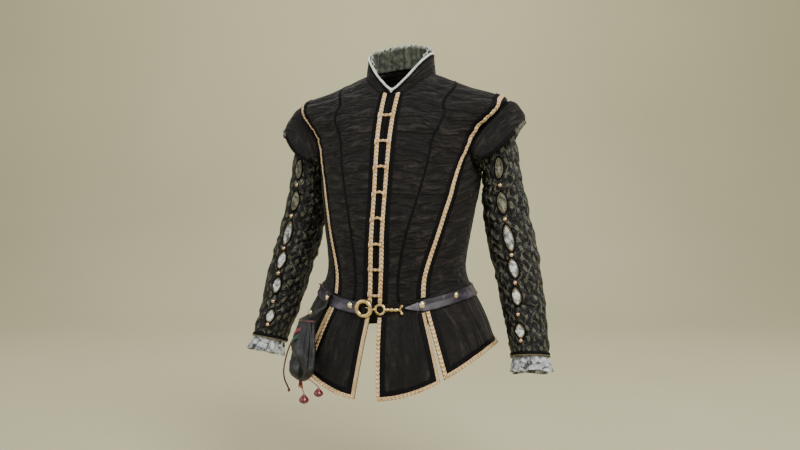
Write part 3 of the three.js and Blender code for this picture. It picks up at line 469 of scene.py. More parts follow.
def tidy(points, faces, uv):
    """Drops the points that no face uses."""
    used = np.unique(np.concatenate([np.asarray(f) for f in faces]))
    place = np.full(len(points), -1)
    place[used] = np.arange(len(used))
    return points[used], [place[f].tolist() for f in map(np.asarray, faces)], uv[used]


def cloth(name, outer, normals, thick, material, nodes=(), mirrored=False, held="stretched", **options):
    """A wall of cloth; where `held` is set, the size of the sheet it was cut from is worked out but not
    kept.
    """
    points, faces, uv = wall_parts(outer, normals, thick, **options)
    if options.get("keep") is not None:
        points, faces, uv = tidy(points, faces, uv)
    obj = make(name, points, faces, material, uv, mirrored)
    if nodes:
        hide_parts(*nodes)
    if held:
        declare(outer, held, options.get("ring", False))


def declare(outer, held, ring):
    """Works out how large the flat piece was that the cloth was cut from, but neither keeps nor returns it.
    """
    closed = np.concatenate([outer, outer[:, :1]], axis=1) if ring else outer
    across = np.linalg.norm(np.diff(closed, axis=1), axis=-1).sum(axis=1).max() / 1000
    down = np.linalg.norm(np.diff(closed, axis=0), axis=-1).sum(axis=0).max() / 1000
    a = np.diff(closed, axis=1)[:-1]
    b = np.diff(closed, axis=0)[:, :-1]


TUBE_UV_WIDTH = 0.006


def tube_parts(path, radius, sides=8, closed=False, up=None):
    """Points and faces of a tube along a path. The radius may change along it."""
    path = np.asarray(path, float)
    count = len(path)
    radius = np.broadcast_to(np.asarray(radius, float), (count,))
    if closed:
        along = unit(np.roll(path, -1, axis=0) - np.roll(path, 1, axis=0))
    else:
        along = unit(np.gradient(path, axis=0))
    if up is None:
        side = np.cross(along[0], [0.3, 0.2, 0.93])
        sides_of = []
        for t in along:
            side = side - t * side.dot(t)
            side = side / np.linalg.norm(side)
            sides_of.append(side)
        side = np.array(sides_of)
    else:
        side = np.broadcast_to(np.asarray(up, float), path.shape)
        side = unit(side - along * (side * along).sum(-1, keepdims=True))
    other = np.cross(along, side)
    a = np.linspace(0, 2 * np.pi, sides, endpoint=False)[None, :, None]
    ring = path[:, None] + radius[:, None, None] * (side[:, None] * np.cos(a) + other[:, None] * np.sin(a))
    faces = grid_faces(count, sides, closed, True).reshape(-1, 4).tolist()
    if not closed:
        faces.append(list(range(sides))[::-1])
        faces.append([(count - 1) * sides + j for j in range(sides)])
    uv = np.empty((count, sides, 2))
    uv[..., 0] = np.linspace(0, TUBE_UV_WIDTH, sides)
    uv[..., 1] = lengths(path)[:, None] / 1000
    return ring.reshape(-1, 3), faces, uv.reshape(-1, 2)


def joined(parts):
    """Several sets of points, faces and uv as one."""
    points, faces, uvs, base = [], [], [], 0
    for p, f, uv in parts:
        points.append(p)
        uvs.append(uv)
        faces += [[k + base for k in face] for face in f]
        base += len(p)
    return np.concatenate(points), faces, np.concatenate(uvs)


def add(name, parts, material, nodes=(), mirrored=False):
    points, faces, uv = joined(parts)
    obj = make(name, points, faces, material, uv, mirrored)
    if nodes:
        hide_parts(*nodes)
    return obj


def ball_parts(middle, radius, rows=8, columns=12, axis=(0, 0, 1), squash=1.0, ribs=0, rib_depth=0.0):
    """A ball, which may be flattened along its axis or ribbed from pole to pole."""
    axis = unit(np.asarray(axis, float))
    side = unit(np.cross(axis, [0.31, 0.85, 0.42]))
    other = np.cross(axis, side)
    a = (np.pi * np.arange(1, rows) / rows)[:, None, None]
    b = (2 * np.pi * np.arange(columns) / columns)[None, :, None]
    r = radius * np.sin(a) * (1 + rib_depth * np.cos(ribs * b))
    pole = axis * radius * squash
    belts = middle + pole * np.cos(a) + side * r * np.cos(b) + other * r * np.sin(b)
    points = np.concatenate([[middle + pole], belts.reshape(-1, 3), [middle - pole]])
    faces = (1 + grid_faces(rows - 1, columns, ring=True)[..., [0, 3, 2, 1]].reshape(-1, 4)).tolist()
    last = 1 + (rows - 2) * columns
    for j in range(columns):
        k = (j + 1) % columns
        faces.append([0, 1 + j, 1 + k])
        faces.append([len(points) - 1, last + k, last + j])
    return points, faces, np.zeros((len(points), 2))


def stitch_parts(path, normals, pitch=4.0, length=2.4, radius=0.28):
    """A row of stitches along a path, lying on the surface."""
    reach = lengths(path)
    parts = []
    for start in np.arange(pitch / 2, reach[-1] - length, pitch):
        ends = np.array([start, start + length / 2, start + length])
        p = read(ends, reach, path) + unit(read(ends, reach, normals)) * np.array([[-0.1], [0.22], [-0.1]])
        parts.append(tube_parts(p, [radius * 0.7, radius, radius * 0.7], sides=4))
    return parts


# ---------------------------------------------------------------- materials


class Value:
    """A number that a material works out. Its sums and products are math nodes."""

    def __init__(self, nodes, socket):
        self.nodes = nodes
        self.socket = socket

    def __add__(self, other):
        return self.nodes.math("ADD", self, other)

    def __sub__(self, other):
        return self.nodes.math("SUBTRACT", self, other)

    def __rsub__(self, other):
        return self.nodes.math("SUBTRACT", other, self)

    def __mul__(self, other):
        return self.nodes.math("MULTIPLY", self, other)

    def __truediv__(self, other):
        return self.nodes.math("DIVIDE", self, other)

    def __abs__(self):
        return self.nodes.math("ABSOLUTE", self)

    __radd__ = __add__
    __rmul__ = __mul__

    def at_most(self, other):
        return self.nodes.math("MINIMUM", self, other)

    def at_least(self, other):
        return self.nodes.math("MAXIMUM", self, other)

    def clamped(self):
        return self.at_least(0.0).at_most(1.0)

    def wave(self, pitch):
        return self.nodes.math("SINE", self * (2 * math.pi / pitch))


class Nodes:
    """A node material, with short calls for the nodes that the cloths share."""

    def __init__(self, name, **sockets):
        self.material = bpy.data.materials.new(name)
        self.material.use_nodes = True
        self.tree = self.material.node_tree
        self.shader = self.tree.nodes["Principled BSDF"]
        for socket, value in sockets.items():
            self.shader.inputs[socket.replace("_", " ")].default_value = value
        self.uv = self.node("ShaderNodeUVMap").outputs["UV"]
        self.place = self.node("ShaderNodeTexCoord").outputs["Object"]

    def node(self, kind, **inputs):
        made = self.tree.nodes.new(kind)
        for name, value in inputs.items():
            if hasattr(made, name):
                setattr(made, name, value)
            else:
                self.feed(made.inputs[name], value)
        return made

    def feed(self, socket, value):
        if isinstance(value, Value):
            value = value.socket
        if isinstance(value, bpy.types.NodeSocket):
            self.tree.links.new(value, socket)
        else:
            socket.default_value = value

    def math(self, operation, *values):
        made = self.node("ShaderNodeMath", operation=operation)
        for socket, value in zip(made.inputs, values):
            self.feed(socket, value)
        return Value(self, made.outputs[0])

    def along(self, axis, vector=None):
        """One part, X, Y or Z, of a vector: of the cloth's own measure unless another is given."""
        made = self.node("ShaderNodeSeparateXYZ", Vector=self.uv if vector is None else vector)
        return Value(self, made.outputs[axis])

    def noise(self, scale, detail, vector=None, distortion=0.0):
        made = self.node(
            "ShaderNodeTexNoise", Vector=self.place if vector is None else vector,
            Scale=scale, Detail=detail, Roughness=0.55, Distortion=distortion,
        )
        return Value(self, made.outputs["Fac"])

    def scaled(self, x, y):
        return self.node("ShaderNodeMapping", Vector=self.uv, Scale=(x, y, 1)).outputs["Vector"]

    def ramp(self, value, *stops):
        made = self.node("ShaderNodeValToRGB", Fac=value)
        elements = made.color_ramp.elements
        while len(elements) < len(stops):
            elements.new(0.5)
        for element, (place, colour) in zip(elements, stops):
            element.position = place
            element.color = (*colour, 1)
        return made.outputs["Color"]

    def mix(self, factor, a, b):
        made = self.node("ShaderNodeMix", data_type="RGBA")
        self.feed(made.inputs["Factor"], factor)
        for socket, value in zip([s for s in made.inputs if s.type == "RGBA"], (a, b)):
            self.feed(socket, value if isinstance(value, bpy.types.NodeSocket) else (*value, 1))
        return next(s for s in made.outputs if s.type == "RGBA")

    def weave(self, pitch):
        """A plain weave's height, from 0 to 1, with threads of the given pitch in metres."""
        return self.along("X").wave(pitch) * self.along("Y").wave(pitch) * 0.5 + 0.5

    def bump(self, height, strength, distance, under=None):
        made = self.node("ShaderNodeBump", Height=height, Strength=strength, Distance=distance)
        if under is not None:
            self.feed(made.inputs["Normal"], under)
        return made.outputs["Normal"]

    def finish(self, colour, roughness, normal=None):
        self.feed(self.shader.inputs["Base Color"], colour)
        self.feed(self.shader.inputs["Roughness"], roughness)
        if normal is not None:
            self.feed(self.shader.inputs["Normal"], normal)
        return self.material


def srgb(*channels):
    parts = [c / 255 for c in channels]
    return tuple(c / 12.92 if c <= 0.04045 else ((c + 0.055) / 1.055) ** 2.4 for c in parts)


def body_cloth(name, across, down):
    """Padded cloth; `across` and `down` are its soft creases to a metre each way, bumped and also painted
    with sheen and shade.
    """
    m = Nodes(name, Sheen_Weight=0.06, Sheen_Roughness=0.5, Specular_IOR_Level=0.2)
    cloud = m.noise(16, 3)
    fleck = m.noise(420, 2)
    crease = m.noise(1, 1.2, m.scaled(across, down), distortion=0.9)
    # The crease noise lightens the tone too: painted sheen on the crests of the creases and painted shade in
    # their troughs, over random mottle and flecks.
    tone = 0.2 * (cloud + m.noise(115, 3) + fleck) + 0.4 * crease - 0.025
    colour = m.ramp(tone, (0.36, srgb(13, 11, 11)), (0.5, srgb(27, 24, 23)), (0.64, srgb(60, 54, 52)))
    height = 0.5 * m.weave(0.0016) + 0.6 * fleck
    return m.finish(colour, 0.12 * cloud + 0.74, m.bump(height, 0.5, 0.0005, m.bump(crease, 1.0, 0.01)))


def satin():
    m = Nodes("black_satin", Specular_IOR_Level=0.12)
    streak = m.noise(1, 3, m.scaled(260, 900))
    colour = m.ramp(streak, (0.35, srgb(5, 4, 6)), (0.7, srgb(13, 12, 15)))
    return m.finish(colour, 0.2 * m.noise(30, 2) + 0.55, m.bump(streak, 0.35, 0.0003))


def braid(name, dark, mid, light, pitch=0.0078):
    """Metal thread plaited in chevrons across the width of a braid, with painted shade in the plait's
    hollows and painted highlights on its crests.
    """
    m = Nodes(name, Metallic=0.2, Specular_IOR_Level=0.5)
    across = m.along("X")
    plait = (0.9 * abs(across) + m.along("Y")).wave(pitch)
    height = 0.5 * plait + 0.2 * across.wave(0.0022)
    grain = m.noise(900, 2)
    # The plait's height colours the tone: painted shade in its hollows and painted highlights, in the light
    # colour, on its crests, over random grain.
    tone = 0.45 * height + 0.35 * grain + 0.5 * m.noise(60, 3) + 0.11
    colour = m.ramp(tone, (0.1, dark), (0.5, mid), (0.9, light))
    return m.finish(colour, 0.2 * grain + 0.42, m.bump(height, 0.9, 0.0009))


def linen(name, low, high, tip=None, whiter_down=0.0, scale=70):
    """Fine linen, with painted shade in its crumples. Its last tenth may have whiter tips, and it may whiten
    down the object.
    """
    m = Nodes(name, Sheen_Weight=0.15, Subsurface_Weight=0.08, Subsurface_Radius=(0.002, 0.002, 0.002))
    cloud = m.noise(scale, 3, distortion=0.5)
    # The crumple noise that makes the broad bump also sets the colour: painted shade in the hollows of the
    # crumples, over random tone.
    colour = m.ramp(cloud, (0.36, low), (0.6, high))
    if tip:
        rise = 110.0 * m.along("Y") + 2.4 * m.noise(190, 2) - 5.9
        colour = m.mix(rise.clamped(), colour, tip)
    if whiter_down:
        fall = (m.along("Z", m.place) + 0.25) * (-1 / whiter_down)
        bright = m.ramp(cloud, (0.38, srgb(120, 122, 124)), (0.56, srgb(238, 240, 244)))
        colour = m.mix(fall.clamped(), colour, bright)
    height = 0.5 * m.weave(0.0009) + 0.5 * m.noise(300, 2)
    return m.finish(colour, 0.1 * cloud + 0.72, m.bump(height, 0.4, 0.0004, m.bump(cloud, 0.7, 0.003)))


def brocade():
    """Black ground with worn grey-green scrolls: an S-shaped stem with leaves, in half-drop."""
    m = Nodes("sleeve_brocade", Specular_IOR_Level=0.3)
    column = (m.along("X") + 0.016 * m.noise(48, 3) - 0.008) / 0.026
    row = (m.along("Y") + 0.02 * m.noise(36, 3, distortion=0.4) - 0.01) / 0.04
    y = m.math("FRACT", row + 0.5 * m.math("FLOOR", column)) - 0.5
    x = (m.math("FRACT", column) - 0.5) * m.math("SIGN", y)
    y = abs(y)

    def leaf(middle_x, middle_y, turn, width, length):
        dx = x - middle_x
        dy = y - middle_y
        a = dx * math.cos(turn) + dy * math.sin(turn)
        b = dy * math.cos(turn) - dx * math.sin(turn)
        inside = 1.0 - (a * a * (1 / width**2) + b * b * (1 / length**2))
        return (3.0 * inside).at_most(34.0 * abs(a))

    stem = 16.0 * (0.075 - abs(x - 0.26 * y.wave(1.0)))
    motif = stem.at_least(leaf(-0.22, 0.14, 0.7, 0.13, 0.24)).at_least(leaf(0.3, 0.38, -0.5, 0.12, 0.2))
    worn = (4.2 * m.noise(75, 3) - 1.55).at_least(0.05).at_most(1.0)
    motif = motif.clamped() * worn
    thread = m.noise(1, 2, m.scaled(1500, 500))
    ground = m.ramp(thread, (0.3, srgb(5, 5, 7)), (0.7, srgb(15, 15, 17)))
    figure = m.ramp(thread, (0.3, srgb(66, 66, 55)), (0.7, srgb(138, 136, 116)))
    crush = m.bump(m.noise(105, 2, distortion=0.5), 1.0, 0.009)
    relief = m.bump(0.7 * motif + 0.3 * thread, 0.8, 0.001, crush)
    return m.finish(m.mix(motif, ground, figure), 0.12 * motif + 0.5, relief)


def leather(name, dark, mid, light, grain=520.0, rough=0.42, wrinkle=0.3):
    m = Nodes(name, Specular_IOR_Level=0.4)
    pores = m.node("ShaderNodeTexVoronoi", Vector=m.place, Scale=grain, feature="F1")
    cells = Value(m, pores.outputs["Distance"])
    cloud = m.noise(42, 4)
    colour = m.ramp(0.2 * cells + 0.8 * cloud, (0.3, dark), (0.52, mid), (0.72, light))
    height = 3 * wrinkle * m.noise(90, 3, distortion=0.6) + 0.5 * cells
    return m.finish(colour, 0.2 * cloud + (rough - 0.1), m.bump(height, 0.6, 0.0006))


def gilt(name, dark, base):
    m = Nodes(name, Metallic=1.0)
    tarnish = m.noise(120, 4)
    bright = tuple(min(1, c * 1.12) for c in base)
    colour = m.ramp(tarnish, (0.3, dark), (0.5, base), (0.75, bright))
    return m.finish(colour, 0.22 * tarnish + 0.16, m.bump(m.noise(380, 2), 0.25, 0.0004))


def glassy_red():
    m = Nodes("red_bead", Coat_Weight=0.6, Coat_Roughness=0.12, Specular_IOR_Level=0.6)
    cloud = m.noise(300, 3)
    colour = m.ramp(cloud, (0.3, srgb(48, 3, 14)), (0.55, srgb(112, 12, 28)), (0.75, srgb(176, 48, 58)))
    return m.finish(colour, 0.2 * cloud + 0.2, m.bump(cloud, 0.3, 0.0004))


def thread(name, dark, light):
    m = Nodes(name, Sheen_Weight=0.2)
    fluff = m.noise(700, 2)
    tone = 0.2 * m.along("Y").wave(0.0022) + fluff
    colour = m.ramp(tone, (0.25, dark), (0.75, light))
    return m.finish(colour, 0.15 * fluff + 0.65, m.bump(tone, 0.7, 0.0005))


def stage_material():
    m = Nodes("pale_stage", Specular_IOR_Level=0.2)
    cloud = m.noise(1.2, 2)
    colour = m.ramp(cloud, (0.2, srgb(199, 193, 158)), (0.8, srgb(206, 200, 165)))
    return m.finish(colour, 0.05 * cloud + 0.85)


CLOTH = body_cloth("padded_cloth", 24, 92)
# On the tabs the creases run down, so their painted sheen and shade make light vertical streaks.
SKIRT_CLOTH = body_cloth("skirt_cloth", 62, 12)
SATIN = satin()
# The braids' light colours are painted highlights on the crests of the plait.
GOLD = braid("gold_braid", srgb(112, 76, 42), srgb(222, 182, 130), srgb(255, 234, 194))
GIMP = braid("old_gold_gimp", srgb(40, 36, 24), srgb(104, 95, 68), srgb(164, 150, 112), 0.004)
# The linens' low colours are partly the cloth's random tone and partly painted shade in their crumples.
PUFF_LINEN = linen("puff_linen", srgb(30, 32, 26), srgb(128, 130, 112), whiter_down=0.12, scale=120)
CUFF_LINEN = linen("cuff_linen", srgb(56, 59, 60), srgb(214, 217, 222), scale=95)
RUFFLE_LINEN = linen("ruffle_linen", srgb(28, 33, 26), srgb(88, 94, 78), srgb(206, 212, 200), scale=110)
FRILL = linen("wing_frill", srgb(24, 26, 20), srgb(96, 98, 82), scale=150)
PIPING_WHITE = linen("piping_silk", srgb(190, 197, 194), srgb(240, 243, 240))
BROCADE = brocade()
BELT_LEATHER = leather("belt_leather", srgb(24, 21, 29), srgb(46, 41, 50), srgb(96, 88, 102))
TIP_LEATHER = leather("belt_tip_leather", srgb(64, 64, 74), srgb(100, 100, 112), srgb(150, 150, 158))
POUCH_TONES = (srgb(15, 16, 18), srgb(35, 36, 39), srgb(72, 73, 76))
POUCH_LEATHER = leather("pouch_leather", *POUCH_TONES, grain=420, rough=0.46, wrinkle=0.5)
THONG = leather("thong_leather", srgb(52, 26, 30), srgb(104, 66, 66), srgb(150, 116, 108), 700, 0.5)
BRASS = gilt("gilt_brass", (0.36, 0.23, 0.1), (0.83, 0.62, 0.3))
PALE_GILT = gilt("pale_gilt", (0.62, 0.47, 0.22), (0.97, 0.86, 0.54))
ROSE_BRASS = gilt("rose_gilt", (0.4, 0.22, 0.13), (0.8, 0.55, 0.36))
RED_BEAD = glassy_red()
BLACK_THREAD = thread("black_thread", srgb(10, 9, 11), srgb(34, 31, 33))
RED_CORD = thread("red_cord", srgb(96, 14, 26), srgb(176, 44, 56))
GREEN_CORD = thread("green_cord", srgb(10, 48, 36), srgb(36, 104, 78))

# ---------------------------------------------------------------- the pouch's drawstring

route = np.array(DRAWSTRING_ROUTE, float)
for _ in range(4):
    fine = np.empty((2 * len(route) - 1, 3))
    fine[::2] = route
    middle = (route[:-1] + route[1:]) / 2
    middle[1:-1] = (-route[:-3] + 9 * route[1:-2] + 9 * route[2:-1] - route[3:]) / 16
    fine[1::2] = middle
    route = fine
thong = add("pouch_thong", [tube_parts(route, DRAWSTRING_WIDTH / 2, 10)], THONG, ["pouch_drawstring"])
knot_parts = ball_parts(route[-1] - [0, 0, 2.2], 2.6, 10, 14, (0, 0, 1), 1.5, 6, 0.08)
tag = add("pouch_thong_end", [knot_parts], THONG)
tuple(route[0] / 1000)
lengths(route)[-1] / 1000
(route / 1000).tolist()

# ---------------------------------------------------------------- body panels

ROWS_TO_NOTCH = 10
ROWS_OF_ARMHOLE = 7
ROWS = ROWS_TO_NOTCH + ROWS_OF_ARMHOLE


def to_back(places):
    return np.stack([180 - places[:, 0], places[:, 1]], -1)


centre_front = between([0, 0], [0, NECK], ROWS * FINE)
centre_back = between([180, 0], [180, NECK], ROWS * FINE)
princess = along_seam(PRINCESS_SEAM, ROWS * FINE)
guard_seam = along_seam(GUARD_SEAM, ROWS_TO_NOTCH * FINE)
armhole_front = along_seam(ARMHOLE_FRONT, ROWS_OF_ARMHOLE * FINE)
front_edge = np.concatenate([guard_seam, armhole_front[1:]])


def drag_lines(points, s, t, seed, amount, from_row, calm):
    """Soft ridges that run across a panel, from the pull of its padding between two seams."""
    z = points[..., 2]
    reach = np.abs(points[..., 0]) + 0.35 * z
    ridges = soft_noise(reach / 30 + seed, (z + 0.18 * np.abs(points[..., 0])) / 7, seed)
    broad = soft_noise(reach / 70, z / 26, seed + 5)
    at_seams = 0.55 + 0.45 * np.abs(np.cos(np.pi * s))
    high = from_row + (1 - from_row) * smoothstep(t, 0.3, 0.75)
    inside = np.minimum(1, 9 * np.minimum(s, 1 - s)) * np.minimum(1, 12 * np.minimum(t, 1 - t))
    inside = inside * smoothstep(s, calm[0] - 0.01, calm[0] + 0.2)
    inside = inside * (1 - smoothstep(s, calm[1] - 0.15, calm[1] + 0.01))
    return amount * inside * (ridges * at_seams * high + 0.5 * broad)


def body_panel(places, seed, amount, ridges, low, calm):
    base = on_body(places[..., 0], places[..., 1])
    n = normal_of(on_body, places[..., 0], places[..., 1])
    rows, columns = places.shape[:2]
    s = np.linspace(0, 1, columns)[None]
    t = np.linspace(0, 1, rows)[:, None]
    swell = amount * np.sin(np.pi * s) * np.sqrt(np.sin(np.pi * t))
    swell = swell + drag_lines(base, s, t, seed, ridges, low, calm)
    outer = base + n * swell[..., None]
    outer = inset(outer)
    return outer, normals_of(outer, n)


def inset(points, gap=SEAM_GAP / 2):
    made = points.copy()
    made[:, 0] += unit(points[:, 1] - points[:, 0]) * gap
    made[:, -1] += unit(points[:, -2] - points[:, -1]) * gap
    made[0] += unit(made[1] - made[0]) * gap
    made[-1] += unit(made[-2] - made[-1]) * gap
    return made


def panel_top(middle_turn, shoulder_level, steps):
    """Round the neck from a centre line to the shoulder seam, and out along that seam."""
    neck = between([middle_turn, NECK], [90, NECK], 5 * FINE)
    return np.concatenate([neck, between([90, NECK], [90, shoulder_level], steps * FINE)[1:]])


inner_top = panel_top(0, princess[-1][1], 1)
front_inner_places = fill_panel(centre_front, princess, between([0, 0], princess[0], 6 * FINE), inner_top)
outer_top = between(princess[-1], front_edge[-1], 5 * FINE)
outer_waist = between(princess[0], front_edge[0], 5 * FINE)
front_outer_places = fill_panel(princess, front_edge, outer_waist, outer_top)
back_edge = to_back(front_edge)
back_waist = between([180, 0], back_edge[0], 8 * FINE)
back_places = fill_panel(centre_back, back_edge, back_waist, panel_top(180, SHOULDER_TIP, 3))
side_back_seam = to_back(guard_seam)
side_waist = between(guard_seam[0], side_back_seam[0], 7 * FINE)
side_places = fill_panel(guard_seam, side_back_seam, side_waist, along_seam(ARMHOLE_UNDER, 7 * FINE))

PANELS = {}
for side, mirrored in SIDES:
    shift = 11 if mirrored else 0
    for name, places, amount, ridges, low, calm in (
        ("front_inner", front_inner_places, 2.0, 2.6, 0.3, (0.2, 1.2)),
        ("front_outer", front_outer_places, PADDING, 2.6, 0.3, (-0.2, 0.9)),
        ("side", side_places, 1.5, 0.8, 0.5, (0.08, 1.2)),
        ("back", back_places, 1.5, 0.8, 0.3, (-0.2, 1.2)),
    ):
        outer, n = body_panel(places, len(name) + shift, amount, ridges, low, calm)
        PANELS[name, side] = (outer, n)
        cloth(f"{name}_{side}_cloth", outer, n, WALL["body"], CLOTH, [f"{name}_{side}"], mirrored)

# ---------------------------------------------------------------- trims of the front


def walk(panel, place, distance, from_end=False):
    """The points and normals at distances along one row of a panel, from its first or last point."""
    outer, n = panel
    k = min(int(place), len(outer) - 2)
    f = place - k
    p = outer[k] * (1 - f) + outer[k + 1] * f
    m = n[k] * (1 - f) + n[k + 1] * f
    if from_end:
        p, m = p[::-1], m[::-1]
    reach = lengths(p)
    return read(distance, reach, p), unit(read(distance, reach, m))


def on_front(side, distance, place):
    """Beside the front edge. A distance below 0 is on the other side of it."""
    p, n = walk(PANELS["front_inner", side], place * FINE, np.abs(distance))
    flip = np.where(np.asarray(distance) < 0, -1, 1)[:, None] * [1, 0, 0] + [0, 1, 1]
    return p * flip, n * flip


def beside_seam(side, distance, place):
    shift = 15.5 * float(smoothstep(place, ROWS_TO_NOTCH - 3.5, ROWS_TO_NOTCH - 0.3))
    away = np.asarray(distance) - shift
    p1, n1 = walk(PANELS["front_outer", side], place * FINE, np.maximum(-away, 0), True)
    p2, n2 = walk(PANELS["side", side], min(place, ROWS_TO_NOTCH) * FINE, np.maximum(away, 0))
    inner = (away <= 0)[:, None]
    return np.where(inner, p1, p2), np.where(inner, n1, n2)


ABOVE_BELT = 0.42
trim_places = np.concatenate([np.linspace(ABOVE_BELT, ROWS - 0.2, 144), np.linspace(ROWS - 0.18, ROWS, 9)])
LEVELS = {"guard": (0.15, 0.8), "braid": (0.95, 1.3), "rung": (2.1, 2.0)}


def strip(find, side, offsets, level, places=trim_places, dome=0.0, proud=0.0):
    """A flat trim on the panels: its outer grid, normals and uv."""
    lift, thick = LEVELS[level]
    rows_p, rows_n, rows_uv = [], [], []
    reach = 0.0
    before = None
    for place in places:
        d = np.asarray(offsets(place), float)
        p, n = find(side, d, place)
        n = unit(n.mean(axis=0, keepdims=True) * 0.6 + n * 0.4)
        t = np.linspace(-1, 1, len(d))
        extra = proud * float(smoothstep(place, ROWS - 7, ROWS - 3.5))
        p = p + n * (lift + thick + extra + dome * (1 - t**2))[:, None]
        middle = p[len(p) // 2]
        reach += 0 if before is None else np.linalg.norm(middle - before)
        before = middle
        rows_p.append(p)
        rows_n.append(n)
        rows_uv.append(np.stack([(d - d.mean()) / 1000, np.full(len(d), reach / 1000)], -1))
    return np.array(rows_p), np.array(rows_n), np.array(rows_uv)


def braid_middle(place):
    return 10 + 3.5 * place / ROWS


def rounded_top(place):
    """Across a placket braid, whose upper end is rounded."""
    left = min(1.0, (ROWS + 0.02 - place) / 0.2)
    return np.linspace(-BRAID_HALF, BRAID_HALF, 8) * math.sqrt(left * (2 - left))


front_line = {side: PANELS["front_inner", side][0][:, 0, 2] for side in ("left", "right")}


def place_at_height(side, z):
    return float(np.interp(z, front_line[side], np.arange(len(front_line[side])))) / FINE


for side, mirrored in SIDES:
    guards = {
        "placket_guard": (on_front, lambda place: np.linspace(0.6, PLACKET_WIDTH, 10), 0.1, 0.0),
        "guard": (beside_seam, lambda place: np.linspace(-GUARD_HALF, GUARD_HALF, 12), 0.2, 0.9),
    }
    for name, (find, offsets, dome, proud) in guards.items():
        p, n, uv = strip(find, side, offsets, "guard", dome=dome, proud=proud)
        cloth(f"{name}_{side}_satin", p, n, LEVELS["guard"][1], SATIN, [f"{name}_{side}"], mirrored, uv=uv)
    braids = {
        "placket_braid": (on_front, lambda place: braid_middle(place) + rounded_top(place), 0.0),
        "guard_braid": (beside_seam, lambda place: np.linspace(-BRAID_HALF, BRAID_HALF, 8), 0.9),
    }
    for name, (find, offsets, proud) in braids.items():
        p, n, uv = strip(find, side, offsets, "braid", dome=0.5, proud=proud)
        made = f"{name}_{side}_weave"
        cloth(made, p, n, LEVELS["braid"][1], GOLD, [f"{name}_{side}"], mirrored, uv=uv, held=None)


for side, mirrored in SIDES:

    def beside_princess(_, distance, place):
        distance = np.asarray(distance)
        p1, n1 = walk(PANELS["front_inner", side], place * FINE, np.maximum(-distance, 0), True)
        p2, n2 = walk(PANELS["front_outer", side], place * FINE, np.maximum(distance, 0))
        inner = (distance <= 0)[:, None]
        return np.where(inner, p1, p2), np.where(inner, n1, n2)

    welt_places = np.linspace(ABOVE_BELT, ROWS - 0.1, 120)
    welt = np.linspace(-WELT_HALF, WELT_HALF, 7)
    p, n, uv = strip(beside_princess, side, lambda place: welt, "guard", welt_places, dome=0.3)
    cloth(f"princess_welt_{side}", p - n * 0.1, n, 0.5, SATIN, mirrored=mirrored, uv=uv, held=None)


for k in range(CLASPS):
    z = RUNG["topZ"] - RUNG["pitch"] * k
    half_height = RUNG["height"] / 2
    s = np.linspace(-1, 1, 33)
    flare = 0.72 * (1 + 0.95 * smoothstep(np.abs(s), 0.3, 0.72) ** 2)
    lift, thick = LEVELS["rung"]
    rows_p, rows_n, rows_uv = [], [], []
    for h in np.linspace(-1, 1, 9):
        place = place_at_height("left", z + h * half_height)
        half = braid_middle(place) + BRAID_HALF
        heights = z + h * half_height * flare
        spots = [on_front("left", [a * half], place_at_height("left", b)) for a, b in zip(s, heights)]
        p = np.array([spot[0][0] for spot in spots])
        n = on_front("left", s * half, place)[1]
        n = unit(n * 0.3 + n.mean(axis=0) * 0.7)
        crown = 1.3 * math.sqrt(max(0, 1 - h * h)) + 0.5 * np.cos(s * np.pi / 2)
        rows_p.append(p + n * (lift + thick * 0.6 + crown)[:, None])
        rows_n.append(n)
        rows_uv.append(np.stack([np.full(33, h * half_height / 1000), s * half / 1000], -1))
    grids = [np.array(rows) for rows in (rows_p, rows_n, rows_uv)]
    cloth(f"clasp_{k + 1}_bar", *grids[:2], 1.6, GOLD, [f"clasp_{k + 1}"], uv=grids[2], held=None)

# ---------------------------------------------------------------- collar


def fold_turn(turn):
    return np.where(turn > 180, 360 - turn, turn)


def neck_out(turn):
    p = on_body(turn, NECK)
    return unit(vec(p[..., 0], p[..., 1] - 6, 0))


def on_collar(turn, share):
    turn, share = np.broadcast_arrays(np.asarray(turn, float), np.asarray(share, float))
    c = COLLAR.where(fold_turn(turn))
    lean = neck_out(turn) * (c["lean"] * share)[..., None]
    return on_body(turn, float(NECK)) + lean + vec(0, 0, 1 + c["height"] * share)


collar_turns = np.linspace(3, 357, 241)
collar_shares = np.linspace(0, 1, 17)
collar_p = on_collar(collar_turns[None], collar_shares[:, None])
collar_n = normals_of(collar_p, neck_out(collar_turns)[None])
collar_relief = 0.35 * soft_noise(collar_turns[None] / 7, collar_shares[:, None] * 3, 3)
collar_relief = collar_relief * np.sin(np.pi * collar_shares)[:, None]
collar_p = collar_p + collar_n * collar_relief[..., None]
collar_p[0] -= [0, 0, 2.4]
cloth("collar_cloth", collar_p, collar_n, WALL["collar"], CLOTH, ["collar"])

PIPING = 2.2
collar_top = on_collar(collar_turns, np.ones(241))
top_out = neck_out(collar_turns)
top_along = unit(np.gradient(collar_top, axis=0))
top_up = unit(np.cross(top_out, top_along))
top_up = top_up * np.sign(top_up[:, 2:3])
piping_path = collar_top + top_up * (PIPING + 0.3) - top_out * WALL["collar"] / 2
add("collar_piping_cord", [tube_parts(piping_path, PIPING, 10, up=top_out)], PIPING_WHITE, ["collar_piping"])

